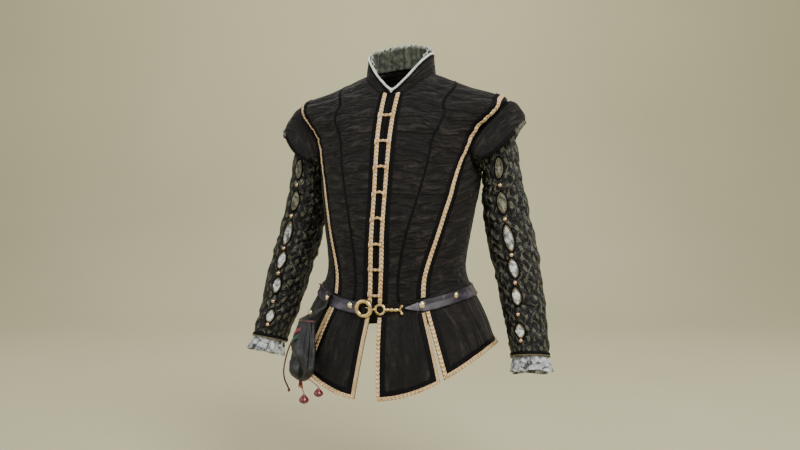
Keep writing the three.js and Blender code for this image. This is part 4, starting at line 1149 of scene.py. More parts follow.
# The black binding folds over the collar's top edge: how far out and up each line of it lies.
INSIDE = -WALL["collar"]
BINDING_OUTSIDE = [(0.5, -5.6), (0.75, -4.2), (0.8, -2.2), (0.7, -0.6), (0.1, 0.25)]
BINDING_INSIDE = [(INSIDE - 0.1, 0.25), (INSIDE - 0.7, -0.8), (INSIDE - 0.8, -5), (INSIDE - 0.6, -9)]
for name, profile, thick, facing in (
    ("collar_binding", BINDING_OUTSIDE, 0.5, top_out),
    ("collar_binding_inside", BINDING_INSIDE, 0.4, -top_out),
):
    p = np.array([collar_top + top_out * out + top_up * up for out, up in profile])
    cloth(name, p, normals_of(p, facing[None]), thick, SATIN, held=None)
knot = (collar_top[0] * [0, 1, 1]) + [0, -3.0, 0.5]
knot_parts = [ball_parts(knot, 4.2, 10, 16, (0, 0.2, 1), 0.8, 8, 0.06)]
knot_parts.append(ball_parts(knot - [0, 1, 3.6], 2.4, 8, 12, (0, 0, 1), 0.9))
add("collar_knot", knot_parts, PIPING_WHITE)


def on_neck_ruffle(turn, share):
    turn, share = np.broadcast_arrays(np.asarray(turn, float), np.asarray(share, float))
    c = COLLAR.where(fold_turn(turn))
    over = RUFFLE["over"] * smoothstep(fold_turn(turn), RUFFLE["from"], 95)
    phase = (turn - RUFFLE["from"]) / (360 - 2 * RUFFLE["from"]) * COLLAR_PLEATS * 2 * np.pi
    uneven = 0.5 * soft_noise(turn / 16, 0, 21)
    wave = RUFFLE["wave"] * (0.45 + 0.55 * share) * np.cos(phase + uneven)
    crimp = 0.5 * share * np.sin(phase * 3.1 + 2 * uneven)
    top = 1.6 * soft_noise(turn / 2.1, 0, 8) * share**4
    p = on_body(turn, float(NECK))
    p = p + neck_out(turn) * (c["lean"] * share - RUFFLE["inside"] + wave + crimp)[..., None]
    return p + vec(0, 0, RUFFLE["low"] + (c["height"] + over - RUFFLE["low"]) * share + top)


ruffle_turns = np.linspace(RUFFLE["from"], 360 - RUFFLE["from"], COLLAR_PLEATS * 16 + 1)
ruffle_p = on_neck_ruffle(ruffle_turns[None], np.linspace(0, 1, 15)[:, None])
ruffle_uv = metric_uv(ruffle_p)
ruffle_uv[..., 1] = np.linspace(0, 0.05, 15)[:, None]
ruffle_n = normals_of(ruffle_p, neck_out(ruffle_turns)[None])
cloth(
    "neck_ruffle_linen", ruffle_p, ruffle_n, 0.7, RUFFLE_LINEN, ["neck_ruffle"],
    held="gathered", uv=ruffle_uv,
)

# ---------------------------------------------------------------- shoulder wings


def on_wing(along, share):
    along, share = np.broadcast_arrays(np.asarray(along, float), np.asarray(share, float))
    p, n, across = armhole_edge(-along * np.where(along > 0, WING_REACH["back"], WING_REACH["front"]))
    root = p + across * 0.9 + n * np.where(along > 0, WING_LIFT["back"], WING_LIFT["front"])[..., None]
    e = WING_EDGE.where(np.abs(along))
    narrower = WING_BACK * np.minimum(1, 3 * np.maximum(0, along))
    rim = vec(e["x"] - narrower, np.where(along > 0, 10 - e["y"], e["y"]), e["z"])
    out = unit(rim - root)
    up = vec(0, np.sign(along) * 0.4 * np.abs(along), 1)
    rise = unit(up - out * (up * out).sum(-1, keepdims=True))
    puff = WING_PUFF * (np.sin(np.pi * share) + 0.15 * np.sin(3 * np.pi * share))
    return root * (1 - share[..., None]) + rim * share[..., None] + rise * puff[..., None]


for side, mirrored in SIDES:
    for end, way in (("front", 1), ("back", -1)):
        p, n, across = armhole_edge(way * np.linspace(4, 150, 120))
        piping = tube_parts(p + n * 1.6 + across * 0.1, 2.1, 10)
        add(f"armhole_piping_{end}_{side}", [piping], SATIN, mirrored=mirrored)

WING_BINDING = [
    (0.4, -6.5), (0.75, -4), (0.7, -1.5), (0.1, 0.5), (-1.8, 1.2), (-3.7, 0.5), (-4.2, -1.5), (-4.2, -5),
]
wing_along = np.linspace(-1, 1, 217)
wing_share = np.linspace(0, 1, 31)
wing_base = on_wing(wing_along[None], wing_share[:, None])
wing_dir = -normal_of(on_wing, *np.meshgrid(wing_along, wing_share), 0.01)
for side, mirrored in SIDES:
    seed = 31 if mirrored else 17
    relief = 1.3 * soft_noise(wing_along[None] * 6, wing_share[:, None] * 2.6, seed)
    relief = relief * np.sin(np.pi * wing_share)[:, None]
    flutes = np.sin(2 * np.pi * 15 * wing_along[None] + soft_noise(wing_along[None] * 9, 0, seed))
    relief = relief + 0.4 * flutes * smoothstep(wing_share, 0.55, 0.98)[:, None]
    p = wing_base + wing_dir * relief[..., None]
    n = normals_of(p, wing_dir)
    cloth(f"wing_{side}_cloth", p, n, WALL["wing"], CLOTH, [f"wing_{side}"], mirrored)
    rim_p, rim_n = p[-1], n[-1]
    rim_out = unit(p[-1] - p[-3])
    low = wing_along < -0.42
    bind_p = np.array([rim_p + rim_n * a + rim_out * b for a, b in WING_BINDING])[:, low]
    bind_n = normals_of(bind_p, rim_n[None][:, low] + 0 * bind_p)
    cloth(f"wing_binding_{side}", bind_p, bind_n, 0.5, SATIN, mirrored=mirrored, held=None)
    high = wing_along >= -0.44
    path = rim_p[high] + rim_out[high] * 1.2 - rim_n[high] * 1.8
    even, path = evenly(path, 260)
    fat = 3.4 + 1.7 * np.abs(np.sin(np.pi * even / 13)) ** 0.7 + 0.5 * soft_noise(even / 5, 0, seed)
    add(f"wing_roll_{side}", [tube_parts(path, fat, 12)], FRILL, mirrored=mirrored)

# ---------------------------------------------------------------- sleeves


def sleeve_place_at(turn, z):
    """The place down the sleeve where one of its long lines is at a height."""
    low, high = 1.0, float(WRIST)
    for _ in range(30):
        middle = (low + high) / 2
        if on_sleeve(turn, middle)[..., 2] > z:
            low = middle
        else:
            high = middle
    return low


def slash_frame(z, turn, half_length):
    place = sleeve_place_at(turn, z)
    per_turn = np.linalg.norm(on_sleeve(turn + 1, place) - on_sleeve(turn - 1, place)) / 2
    per_place = np.linalg.norm(on_sleeve(turn, place + 0.05) - on_sleeve(turn, place - 0.05)) / 0.1
    return {"turn": turn, "place": place, "per_turn": per_turn, "per_place": per_place, "half": half_length}


SLASH_FRAMES = [slash_frame(*row) for row in SLASHES]


def slash_width(frame, down):
    inside = np.maximum(0, 1 - (down / frame["half"]) ** 2)
    return SLASH_HALF_WIDTH * inside**0.675


def from_slash(frame, turn, place):
    """How far a place on the sleeve is across and down from a slash's middle, in millimetres."""
    return (turn - frame["turn"]) * frame["per_turn"], (place - frame["place"]) * frame["per_place"]


def in_slash(frame, turn, place):
    """Whether a place is in a slash, and how far across the slash's nearer edge is."""
    across, down = from_slash(frame, turn, place)
    width = slash_width(frame, down)
    return (np.abs(down) < frame["half"]) & (np.abs(across) < width), np.sign(across + 1e-9) * width


def sleeve_normal(turn, place):
    n = normal_of(on_sleeve, turn, place)
    return n * np.sign((n * (on_sleeve(turn, place) - arm_middle(place))).sum(-1, keepdims=True))


def sleeve_relief(turn, place, seed):
    """Puckers and elbow creases of the sleeve."""
    small = soft_noise(turn / 12 + seed, place * 4.4, seed)
    ridge = soft_noise(turn / 50, place * 3.6 + 0.02 * turn, seed + 3)
    elbow = np.exp(-(((place - 6) / 1.6) ** 2)) * np.sin(place * 7.5 + 0.6 * np.sin(np.radians(turn * 2)))
    ends = smoothstep(place, 0.8, 2.2) * (1 - smoothstep(place, 9.3, 9.95))
    return ends * (2.1 * small + 1.6 * ridge + 1.0 * elbow)


def sleeve_piece(from_turn, to_turn, columns, seed, slashes=()):
    turns = np.linspace(from_turn, to_turn, columns + 1)
    places = np.linspace(0, WRIST, 151)
    turn, place = np.meshgrid(turns, places)
    inside = np.zeros(turn.shape, bool)
    for frame in slashes:
        inside |= in_slash(frame, turn, place)[0]
    keep = ~(inside[:-1, :-1] & inside[1:, :-1] & inside[:-1, 1:] & inside[1:, 1:])
    for frame in slashes:
        here, edge = in_slash(frame, turn, place)
        turn = np.where(here, frame["turn"] + edge / frame["per_turn"], turn)
    base = on_sleeve(turn, place)
    n = sleeve_normal(turn, place)
    flat = np.ones(turn.shape)
    for frame in slashes:
        across, down = from_slash(frame, turn, place)
        near = np.hypot(across / 16, down / (frame["half"] + 8))
        flat = np.minimum(flat, smoothstep(near, 0.55, 1.15))
    p = base + n * (sleeve_relief(turn, place, seed) * flat)[..., None]
    p = inset(p)
    around = np.radians(turn) * 44 / 1000
    along = lengths(arm_middle(places)) / 1000
    uv = np.stack([around, np.broadcast_to(along[:, None], turn.shape)], -1)
    return p, n, uv, keep


def on_sleeve_at(frame, across, down, out=0.0):
    turn = frame["turn"] + np.asarray(across) / frame["per_turn"]
    place = frame["place"] + np.asarray(down) / frame["per_place"]
    return on_sleeve(turn, place) + sleeve_normal(turn, place) * np.asarray(out, float)[..., None]


def slash_outline(frame, grow=0.0, count=56):
    a = np.linspace(0, 2 * np.pi, count, endpoint=False)
    width = SLASH_HALF_WIDTH + grow
    across = width * np.sin(a) * np.abs(np.sin(a)) ** 0.35
    return across, (frame["half"] + 1.6 * grow) * np.cos(a)


for side, mirrored in SIDES:
    seed = 5 if mirrored else 2
    thick = WALL["sleeve"] * 0.7
    p, n, uv, keep = sleeve_piece(SLEEVE_BACK_SEAM, SLEEVE_FRONT_SEAM, 96, seed, SLASH_FRAMES)
    name = f"sleeve_top_{side}"
    cloth(f"{name}_cloth", p, n, thick, BROCADE, [name], mirrored, keep=keep, uv=uv)
    p, n, uv, _ = sleeve_piece(SLEEVE_FRONT_SEAM, 360 + SLEEVE_BACK_SEAM, 60, seed)
    name = f"sleeve_under_{side}"
    cloth(f"{name}_cloth", p, n, thick, BROCADE, [name], mirrored, uv=uv)
    rims, edges, puffs, beads, bars = [], [], [], [], []
    for k, frame in enumerate(SLASH_FRAMES):
        across, down = slash_outline(frame, 1.9)
        rims.append(tube_parts(on_sleeve_at(frame, across, down, 0.7), 1.7, 8, closed=True))
        across, down = slash_outline(frame, -0.6)
        edges.append(tube_parts(on_sleeve_at(frame, across, down, 0.9), 1.3, 8, closed=True))
        rho = np.linspace(0, 1, 15)[:, None]
        a = np.linspace(0, 2 * np.pi, 48, endpoint=False)[None]
        width, long = SLASH_HALF_WIDTH + 2.5, frame["half"] + 3
        across = rho * width * np.sin(a) * np.abs(np.sin(a)) ** 0.35
        down = rho * long * np.cos(a)
        crease = soft_noise(across / 4.2 + 7 * k, down / 8.0 + 3 * seed, 40 + k)
        fine = soft_noise(across / 2.1 + 9 * k, down / 4.5, 60 + k + seed)
        height = -3.4 + 7.6 * np.maximum(0, 1 - rho**2.2) ** 0.7 + (2.4 * crease + 1.3 * fine) * (1 - rho**3)
        dome = on_sleeve_at(frame, across, down, height)
        dn = normals_of(dome, dome - arm_middle(np.full(dome.shape[:2], frame["place"])), ring=True)
        puffs.append(wall_parts(dome, dn, 0.8, ring=True))
        gap_from = frame["place"] + (frame["half"] + 1.5) / frame["per_place"]
        if k + 1 < len(SLASH_FRAMES):
            after = SLASH_FRAMES[k + 1]
            gap_to = after["place"] - (after["half"] + 1.5) / after["per_place"]
            turn = (frame["turn"] + after["turn"]) / 2
        else:
            gap_to, turn = gap_from + 0.14, frame["turn"] + 1
        spot = {**frame, "turn": turn, "place": (gap_from + gap_to) / 2}
        middle = on_sleeve_at(spot, 0.0, 0.0, 2.9)
        outwards = unit(on_sleeve_at(spot, 0.0, 0.0, 5.0) - on_sleeve_at(spot, 0.0, 0.0, 1.0))
        beads.append(ball_parts(middle, 4.1, 10, 14, outwards, 0.8, 7, 0.08))
        beads.append(ball_parts(middle + outwards * 3.0, 1.3, 6, 8, outwards, 0.8))
        for way in (-1, 1):
            across, down = np.transpose(BEAD_LEAF) * [[way], [1]]
            bars.append(tube_parts(on_sleeve_at(spot, across, down, 1.1), 0.8, 6))
    add(f"slash_binding_{side}", rims, SATIN, mirrored=mirrored)
    add(f"slash_gimp_{side}", edges + bars, GIMP, mirrored=mirrored)
    add(f"puffs_{side}_linen", puffs, PUFF_LINEN, [f"puffs_{side}"], mirrored)
    add(f"sleeve_beads_{side}", beads, ROSE_BRASS, mirrored=mirrored)

# ---------------------------------------------------------------- cuffs

wrist_middle = arm_middle(np.array(float(WRIST)))
wrist_axis = unit(wrist_middle - arm_middle(np.array(WRIST - 1.0)))


def on_cuff_ruffle(turn, share, seed=0):
    turn, share = np.broadcast_arrays(np.asarray(turn, float), np.asarray(share, float))
    out = on_sleeve(turn, np.full(turn.shape, float(WRIST))) - wrist_middle
    radius = np.linalg.norm(out, axis=-1)
    uneven = 0.5 * np.sin(np.radians(turn) * 3 + seed) + 0.3 * np.sin(np.radians(turn) * 5 + 2 * seed)
    wave = CUFF["wave"] * (0.25 + 0.75 * share) * np.cos(np.radians(turn) * CUFF_PLEATS + uneven)
    crimp = 0.55 * share * np.sin(np.radians(turn) * 31 + 3 * uneven)
    inner = radius - CUFF["inside"]
    reach = inner + (CUFF["radius"] - CUFF["wave"] - inner) * np.maximum(share, 0) ** 0.8 + wave + crimp
    lift = 1.8 * np.sin(np.radians(turn) * 4 + seed) * share**2
    along = -CUFF["in"] + (CUFF["out"] + CUFF["in"]) * share + lift
    return wrist_middle + wrist_axis * along[..., None] + out * (reach / radius)[..., None]


for side, mirrored in SIDES:
    turns = np.linspace(0, 360, CUFF_PLEATS * 18, endpoint=False)
    p = on_cuff_ruffle(turns[None], np.linspace(0.03, 1, 16)[:, None], 1.3 if mirrored else 0.2)
    n = normals_of(p, p - wrist_middle, ring=True)
    name = f"cuff_ruffle_{side}"
    cloth(f"{name}_linen", p, n, 0.7, CUFF_LINEN, [name], mirrored, "gathered", ring=True)
    band_turns = np.linspace(0, 360, 96, endpoint=False)
    band = on_sleeve(band_turns[None], np.linspace(WRIST - 0.28, WRIST - 0.06, 6)[:, None])
    away = normals_of(band, band - wrist_middle, ring=True)
    bulge = 1.9 + 0.8 * np.sin(np.linspace(0, np.pi, 6))[:, None]
    name = f"cuff_band_{side}"
    band = band + away * bulge[..., None]
    cloth(f"{name}_satin", band, away, 1.4, SATIN, [name], mirrored, held=None, ring=True)
    edge = on_sleeve(band_turns, np.full(96, WRIST - 0.02))
    edge = edge + unit(edge - wrist_middle) * 2.4
    add(f"cuff_gimp_{side}", [tube_parts(edge, 1.1, 8, closed=True)], GIMP, mirrored=mirrored)

# ---------------------------------------------------------------- skirt tabs


def tab_surface(tab, seed):
    belt_from, belt_to, hem_from, hem_to = tab

    def turn_at(s, v):
        return (belt_from + (belt_to - belt_from) * s) * (1 - v) + (hem_from + (hem_to - hem_from) * s) * v

    def surface(s, v):
        s, v = np.broadcast_arrays(np.asarray(s, float), np.asarray(v, float))
        turn = turn_at(s, v)
        p = on_skirt(turn, v)
        n = -normal_of(on_skirt, turn, v)
        fold = soft_noise(turn / 6.5 + seed, v * 0.8 + 0.3, seed) * (0.3 + 0.7 * v)
        small = soft_noise(turn / 2.6, v * 3, seed + 9)
        calm = smoothstep(v, 0.06, 0.2)
        return p + n * (calm * (1.7 * fold + 0.4 * small))[..., None], n

    def width_at(v):
        s = np.linspace(0, 1, 25)
        p = on_skirt(turn_at(s, v), np.full(25, v))
        return np.linalg.norm(np.diff(p, axis=0), axis=1).sum()

    length = float(np.linalg.norm(on_skirt(turn_at(0.5, 0.0), 0.0) - on_skirt(turn_at(0.5, 1.0), 1.0)))
    return surface, width_at, length


def edge_strip(surface, width_at, length, distances, top=0.1, low_only=False):
    """Lines that run down one side of a tab, along its hem and up the other side."""
    lines = []
    for d in distances:
        low = 1 - d / length
        downs = np.linspace(top, low, 42)[:-1]
        inwards = np.array([d / width_at(v) for v in downs])
        corner = d / width_at(low)
        along = np.linspace(corner, 1 - corner, 70)
        s = np.concatenate([inwards, along, 1 - inwards[::-1]])
        v = np.concatenate([downs, np.full(70, low), downs[::-1]])
        if low_only:
            s, v = along, np.full(70, low)
        lines.append(surface(s, v))
    return np.array([p for p, _ in lines]), np.array([n for _, n in lines])


for index, (name, tab) in enumerate(TABS.items()):
    surface, width_at, length = tab_surface(tab, index + 2)
    columns = int(width_at(1.0) / 3.2)
    s, v = np.meshgrid(np.linspace(0, 1, columns), np.linspace(0, 1, 52))
    p, n = surface(s, v)
    p = inset(p)
    cloth(f"tab_{name}_cloth", p, normals_of(p, n), WALL["tab"], SKIRT_CLOTH, [f"tab_{name}"], held="hung")
    gold_distances = np.linspace(0.6, 7.2, 8)
    gp, gn = edge_strip(surface, width_at, length, gold_distances)
    dome = 0.45 * (1 - np.linspace(-1, 1, 8) ** 2)[:, None, None]
    gold = gp + gn * (1.5 + dome)
    uv = metric_uv(np.swapaxes(gold, 0, 1))
    uv[..., 0] = np.linspace(-3.3, 3.3, 8)[None] / 1000
    uv = np.swapaxes(uv, 0, 1)
    cloth(f"tab_braid_{name}_weave", gold, gn, 1.2, GOLD, [f"tab_braid_{name}"], held=None, uv=uv)
    sp, sn = edge_strip(surface, width_at, length, np.linspace(7.6, 16.5, 7))
    cloth(f"tab_border_{name}", sp + sn * 0.75, sn, 0.6, SATIN, held=None)
    hp, hn = edge_strip(surface, width_at, length, [2.9], low_only=True)
    path, out = hp[0], hn[0]
    reach = lengths(path)
    even = np.linspace(0, reach[-1], int(reach[-1] / BULLION_STEP))
    path, out = read(even, reach, path), unit(read(even, reach, out))
    down = unit(np.cross(out, unit(np.gradient(path, axis=0))))
    down = down * -np.sign(down[:, 2:3])
    strands = []
    for phase in (0, np.pi):
        a = even * 2 * np.pi / 15 + phase
        centre = path + out * (2.4 + 1.3 * np.cos(a))[:, None] + down * (0.6 + 1.3 * np.sin(a))[:, None]
        strands.append(tube_parts(centre, 1.5, 8))
    add(f"tab_bullion_{name}", strands, GOLD)

# ---------------------------------------------------------------- belt


def belt_out(turn):
    p = on_section(BELT_LINE, turn)
    return unit(vec(p[..., 0], p[..., 1] + 18, 0))


def on_belt(turn, height, out=0.0):
    turn, height = np.broadcast_arrays(np.asarray(turn, float), np.asarray(height, float))
    drop = on_section(BELT_LINE, turn)[..., 2] - on_section(HEM, turn)[..., 2]
    above = on_body(turn, np.maximum(height, 0) / 46)
    below = on_skirt(turn, np.maximum(-height, 0) / drop)
    p = np.where((height > 0)[..., None], above, below)
    return p + belt_out(turn) * np.asarray(out, float)[..., None]


belt_turns = np.linspace(BELT["tipTurn"], BELT["endTurn"], 321)
taper = np.minimum(1, 0.12 + 0.88 * (belt_turns - BELT["tipTurn"]) / BELT["tipLength"])
across = np.linspace(-1, 1, 15)
roll = 0.55 * (1 - np.abs(across) ** 6) - 0.55
ripple = 0.35 * soft_noise(belt_turns[None] / 5, across[:, None] * 1.2, 4)
heights = across[:, None] * BELT_HALF * taper[None]
outs = BELT["clear"] + BELT_THICK + 0.3 + roll[:, None] + ripple
belt_p = on_belt(belt_turns[None], heights, outs)
belt_n = normals_of(belt_p, belt_out(belt_turns)[None])
cloth("belt_strap", belt_p, belt_n, BELT_THICK, BELT_LEATHER, ["belt"], held=None)
tip_turns = np.linspace(BELT["tipTurn"] - 0.2, BELT["tipTurn"] + 9.5, 40)
tip_taper = np.minimum(1, 0.12 + 0.88 * (tip_turns - BELT["tipTurn"]) / BELT["tipLength"])
tip_heights = across[:, None] * (BELT_HALF * np.maximum(tip_taper, 0.1)[None] + 0.5)
tip_p = on_belt(tip_turns[None], tip_heights, BELT["clear"] + BELT_THICK + 1.1 + roll[:, None])
cloth("belt_tip", tip_p, normals_of(tip_p, belt_out(tip_turns)[None]), 1.0, TIP_LEATHER, held=None)


def ring_parts(middle, radius, wire, sides=12, count=64, ridge=0.0, ridges=0):
    a = np.linspace(0, 2 * np.pi, count, endpoint=False)
    path = np.asarray(middle) + np.stack([np.cos(a), 0 * a, np.sin(a)], -1) * radius
    return tube_parts(path, wire * (1 + ridge * np.cos(ridges * a)), sides, closed=True, up=(0, -1, 0))


clasp_y = BODY.rows[0][4] - RING["stand"]
belt_z = BODY.rows[0][0]


def at_clasp(x, forward=0.0, up=0.0):
    return np.array([x, clasp_y - forward, belt_z + up])


ring_middle = at_clasp(RING["x"])
ring = ring_parts(ring_middle, RING["radius"] - 1.1, RING["wire"] * 1.36, ridge=0.05, ridges=24)
add("belt_ring_gilt", [ring], BRASS, ["belt_ring"])
hook_parts = [ring_parts(at_clasp(HOOK["x"]), HOOK["radius"], HOOK["wire"] * 1.1, ridge=0.06, ridges=14)]
bar_end = at_clasp(HOOK["barEnd"], -HOOK["dip"])
bar_start = at_clasp(HOOK["x"] + HOOK["radius"] - 0.5)
bar_line = [bar_start, at_clasp(HOOK["x"] + 20, -0.3 * HOOK["dip"]), bar_end]
bar_t = np.linspace(0, 2, 25)
bar_path = read(bar_t, range(3), bar_line)
hook_parts.append(tube_parts(bar_path, 2.8 + 0.9 * np.cos(bar_t * np.pi * 2) ** 2, 12))
for way in (-1, 1):
    fork = between(bar_end - [3, 0, 0], bar_end + [1.5, 0, way * 6.5], 7)
    hook_parts.append(tube_parts(fork, 2.1, 10))
for knop in HOOK_KNOPS.rows:
    along, back, up, radius = knop
    place = at_clasp(HOOK["barEnd"] + along, -back, up)
    hook_parts.append(ball_parts(place, radius, 10, 14, (1, 0, 0), 0.95))
ring_inside = RING["x"] + RING["radius"] - RING["wire"]
over = RING["wire"] + 1.7
beak = np.array([
    at_clasp(HOOK["x"] - HOOK["radius"] + 0.5), at_clasp(HOOK["x"] - HOOK["radius"] - 3, over - 0.6),
    at_clasp(ring_inside + 1.1, over + 0.3), at_clasp(ring_inside - 3.2, 2),
    at_clasp(ring_inside - 3.6, -2.2),
])
beak_t = np.linspace(0, 4, 30)
beak_path = read(beak_t, range(5), beak)
for _ in range(3):
    beak_path[1:-1] = (beak_path[:-2] + beak_path[2:]) / 2
hook_parts.append(tube_parts(beak_path, np.linspace(1.9, 1.2, 30), 10))
add("belt_hook_gilt", hook_parts, BRASS, ["belt_hook"])

for k, turn in enumerate(STUD_TURNS):
    base = on_belt(turn, 0.0, BELT["clear"] + BELT_THICK + 0.7)
    out = belt_out(np.array(float(turn)))
    parts = [ball_parts(base + out * 0.9, 5.9, 12, 24, out, 0.58, 12, 0.015)]
    circle = np.linspace(0, 2 * np.pi, 32, endpoint=False)[:, None]
    sideways = unit(np.cross([0, 0, 1], out))
    rim = base + out * 0.5 + 6.0 * (sideways * np.cos(circle) + vec(0, 0, 1) * np.sin(circle))
    parts.append(tube_parts(rim, 0.7, 8, closed=True))
    add(f"stud_{k + 1}_gilt", parts, PALE_GILT, [f"stud_{k + 1}"])

# ---------------------------------------------------------------- pouch

pouch_t = np.linspace(0, 9, 100)
pouch_a = np.linspace(0, 2 * np.pi, 96, endpoint=False)
section = POUCH.at(pouch_t)
neck_pull = np.exp(-(((pouch_t - 1.9) / 1.0) ** 2))[:, None]
base_pull = np.exp(-(((pouch_t - 9) / 1.4) ** 2))[:, None]
gathers = 0.09 * neck_pull * np.cos(11 * pouch_a)[None] + 0.07 * base_pull * np.cos(7 * pouch_a)[None]
lobes = 0.05 * smoothstep(pouch_t, 2.5, 6)[:, None] * np.cos(3 * pouch_a + 0.6)[None]
lobes = lobes + 0.035 * (1 - smoothstep(pouch_t, 4.5, 7.5))[:, None] * np.cos(8 * pouch_a + 1.1)[None]
creases = 0.05 * soft_noise(pouch_a[None] * 3.2, pouch_t[:, None] * 1.7, 12)
creases = creases * smoothstep(pouch_t, 1, 3.5)[:, None]
pouch_turn = np.degrees(pouch_a)[None]
band = 0.2 * np.exp(-(((pouch_turn - 36) / 11) ** 2)) - 0.1 * np.exp(-(((pouch_turn - 60) / 9) ** 2))
band = band * (smoothstep(pouch_t, 0.5, 2) * (1 - smoothstep(pouch_t, 7.4, 8.6)))[:, None]
fold_path = read(np.linspace(0, 4, 33), range(5), POUCH_FOLD)
fold_across = (pouch_turn[..., None] - fold_path[:, 0]) / 11
fold_down = (pouch_t[:, None, None] - fold_path[:, 1]) / 0.32
trough = 0.3 * np.exp(-np.hypot(fold_across, fold_down).min(axis=-1) ** 2)
curl = 0.16 * np.exp(-(((pouch_turn - 96) / 26) ** 2) - ((pouch_t[:, None] - 6.5) / 0.8) ** 2)
swell = 1 + gathers + lobes + creases + band + curl - trough
wide = section["halfWidth"][:, None] * np.cos(pouch_a)[None] * swell
deep = section["halfDepth"][:, None] * np.sin(pouch_a)[None] * swell
pouch_middle = vec(section["x"], section["y"], section["z"])[:, None]
pouch_p = pouch_middle + POUCH_ACROSS * wide[..., None] + POUCH_FACE * deep[..., None]
rows, columns = pouch_p.shape[:2]
faces = grid_faces(rows, columns, ring=True).reshape(-1, 4).tolist()
faces.append(list(range(columns))[::-1])
faces.append([(rows - 1) * columns + j for j in range(columns)])
pouch = make("pouch_bag", pouch_p, faces, POUCH_LEATHER, metric_uv(pouch_p))
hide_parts("pouch")


def on_pouch(turn, place, out=0.0):
    """A point on the pouch: turn 90 faces forwards, 180 is its left end as seen from the front."""
    a = np.radians(turn)
    s = POUCH.at(place)
    return (
        vec(s["x"], s["y"], s["z"])
        + POUCH_ACROSS * ((s["halfWidth"] + out) * np.cos(a))[..., None]
        + POUCH_FACE * ((s["halfDepth"] + out) * np.sin(a))[..., None]
    )


for material, name, shift in ((RED_CORD, "pouch_cord_red", 0.0), (GREEN_CORD, "pouch_cord_green", 0.72)):
    turns = np.linspace(215, 84, 60)
    places = 2.4 + shift + (turns - 88) * 0.0146
    out = 1.3 - 3.2 * smoothstep(-turns, -97, -86)
    cords = [tube_parts(on_pouch(turns, places + step, out), 1.25, 8) for step in (-0.13, 0.0, 0.13)]
    add(name, cords, material)
turns = np.linspace(0, 720, 150)
wrap = on_pouch(turns, 0.85 + turns / 720 * 0.25, 0.9)
add("pouch_neck_tie", [tube_parts(wrap, 1.1, 8)], THONG)

hanger_over = BELT["clear"] + BELT_THICK + 2 + 2.2
stops = np.array([
    on_belt(HANGER_TURN, BELT_HALF + 2, hanger_over),
    on_belt(HANGER_TURN, -BELT_HALF - 2, hanger_over),
    POUCH.rows[0][:3] + [0, 0, 0.35] + POUCH_FACE * 2,
])
hanger_t = np.linspace(0, 2, 40)
hanger_line = read(hanger_t, range(3), stops)
hanger_out = belt_out(np.array(float(HANGER_TURN)))
hanger_side = np.cross([0, 0, 1], hanger_out)
hanger_half = 8 + 6 * smoothstep(hanger_t, 1.2, 1.9)
strap_across = np.linspace(-1, 1, 9)
hanger_p = hanger_line[:, None] + hanger_side * (hanger_half[:, None] * strap_across)[..., None]
hanger_p = hanger_p + hanger_out * (0.4 * (1 - strap_across**4))[None, :, None]
hanger_n = normals_of(hanger_p, hanger_out + 0 * hanger_p)
cloth("pouch_strap", hanger_p, hanger_n, 2.0, POUCH_LEATHER, ["pouch_hanger"], held=None)
stud_spots = (on_belt(HANGER_TURN, 1.0, hanger_over + 1.6), hanger_p[33, 1] + hanger_out * 1.2)
strap_studs = [ball_parts(spot, 6.3, 12, 24, hanger_out, 0.6, 10, 0.02) for spot in stud_spots]
add("pouch_strap_studs", strap_studs, PALE_GILT)

drops = []
ties = []
for place, turn, hang, radius in ((8.6, 90, (-127, -178, -607), 9.2), (7.2, 10, (-92, -188, -590), 8.6)):
    start = on_pouch(np.array(float(turn)), np.array(place), 0.2)
    hang = np.array(hang, float)
    path = start + (hang - start) * np.linspace(0, 1, 14)[:, None]
    ties.append(tube_parts(path, 0.9, 6))
    t = np.linspace(0, 1, 16)
    drop_path = hang - np.array([0, 0, 1]) * (t * radius * 2.3)[:, None]
    bulge = radius * np.sin(np.pi * np.minimum(t, 0.985) ** 1.7) ** 0.8
    drops.append(tube_parts(drop_path, 0.5 + bulge, 20))
tuft = on_pouch(np.array(90.0), np.array(9.0))
for k in range(9):
    lean = np.array([math.cos(2.4 * k), math.sin(2.4 * k), 0]) * (1 + 0.45 * k)
    strand = tuft + between(0.4 * lean + [0, 0, 2], lean - [0, 0, 9 + k % 3 * 2], 7)
    ties.append(tube_parts(strand, np.linspace(1.3, 0.7, 8), 6))
add("pouch_drops", drops, RED_BEAD)
add("pouch_drop_ties", ties, RED_CORD)

# ---------------------------------------------------------------- stitching

for side, mirrored in SIDES:
    rows = []
    for panel, column in (("front_outer", 2), ("front_inner", -3), ("back", 2)):
        outer, n = PANELS[panel, side]
        rows += stitch_parts(outer[4:-4, column], n[4:-4, column])
    add(f"body_stitches_{side}", rows, BLACK_THREAD, mirrored=mirrored)
rows = []
for h in (-10.6, 10.6):
    turns = np.linspace(BELT["tipTurn"] + 14, BELT["endTurn"] - 1, 400)
    line = on_belt(turns, h, BELT["clear"] + BELT_THICK + 0.45)
    rows += stitch_parts(line, belt_out(turns), 5.0, 3.0, 0.3)
add("belt_stitches", rows, BLACK_THREAD)

# ---------------------------------------------------------------- light and floor

FLOOR_Z = -0.86


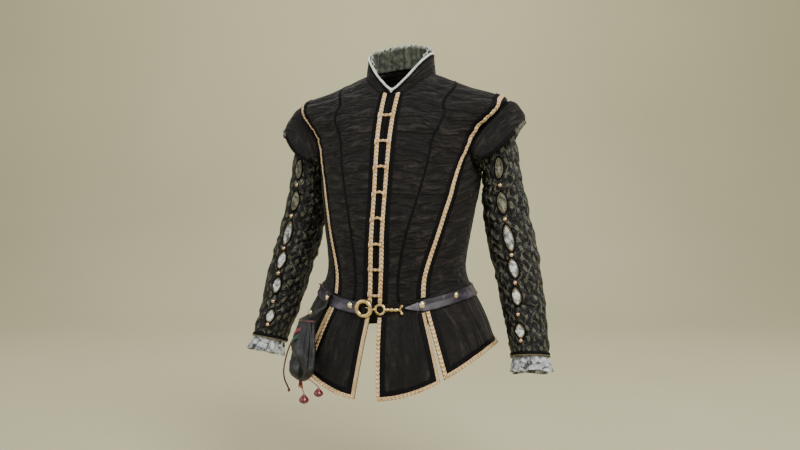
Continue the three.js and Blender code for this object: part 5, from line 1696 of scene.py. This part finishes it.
sweep = []
for t in np.linspace(0, 1, 33):
    if t < 0.4:
        y, z = -3.4 + 5.4 * t / 0.4, 0.0
    elif t < 0.6:
        a = (t - 0.4) / 0.2 * math.pi / 2
        y, z = 2.0 + 1.4 * math.sin(a), 1.4 - 1.4 * math.cos(a)
    else:
        y, z = 3.4, 1.4 + 4.2 * (t - 0.6) / 0.4
    sweep.append((y, z + FLOOR_Z))
turned = Vector((math.cos(AZIMUTH), math.sin(AZIMUTH), 0))
stage_points = [turned * x + INTO_VIEW * y + Vector((0, 0, z)) for y, z in sweep for x in (-7, 7)]
stage_mesh = bpy.data.meshes.new("stage")
stage_faces = grid_faces(len(sweep), 2).reshape(-1, 4).tolist()
stage_mesh.from_pydata(stage_points, [], stage_faces)
stage_mesh.polygons.foreach_set("use_smooth", [True] * len(stage_mesh.polygons))
stage = bpy.data.objects.new("stage", stage_mesh)
stage_mesh.materials.append(stage_material())
scene.collection.objects.link(stage)


def area_light(name, azimuth, elevation, distance, size, watts, colour, height=-0.25, turned_away=False):
    """A soft light round the object, in degrees and metres. Turned away, it lights the backdrop."""
    data = bpy.data.lights.new(name, "AREA")
    data.shape = "RECTANGLE"
    data.size, data.size_y = size
    data.energy = watts
    data.color = colour
    light = bpy.data.objects.new(name, data)
    a, e = math.radians(azimuth), math.radians(elevation)
    target = Vector((0, 0, height))
    back = Vector((math.sin(a) * math.cos(e), -math.cos(a) * math.cos(e), math.sin(e)))
    light.location = target + back * distance
    light.rotation_euler = (back if turned_away else -back).to_track_quat("-Z", "Y").to_euler()
    scene.collection.objects.link(light)


area_light("key", 50, 42, 2.6, (1.4, 1.4), 62, (1.0, 0.97, 0.92))
area_light("fill", -45, 20, 3.0, (2.2, 2.2), 26, (0.95, 0.98, 1.0))
area_light("back_left", 215, 35, 2.6, (1.4, 1.4), 22, (1, 1, 1))
area_light("back_right", 140, 30, 2.6, (1.2, 1.2), 16, (1, 1, 1))
area_light("wall", 200, 25, 1.5, (2.4, 0.8), 26, (1.0, 0.98, 0.93), 0.2, turned_away=True)
world = bpy.data.worlds.new("studio")
world.use_nodes = True
world.node_tree.nodes["Background"].inputs["Color"].default_value = (0.86, 0.88, 0.84, 1)
world.node_tree.nodes["Background"].inputs["Strength"].default_value = 0.55
scene.world = world
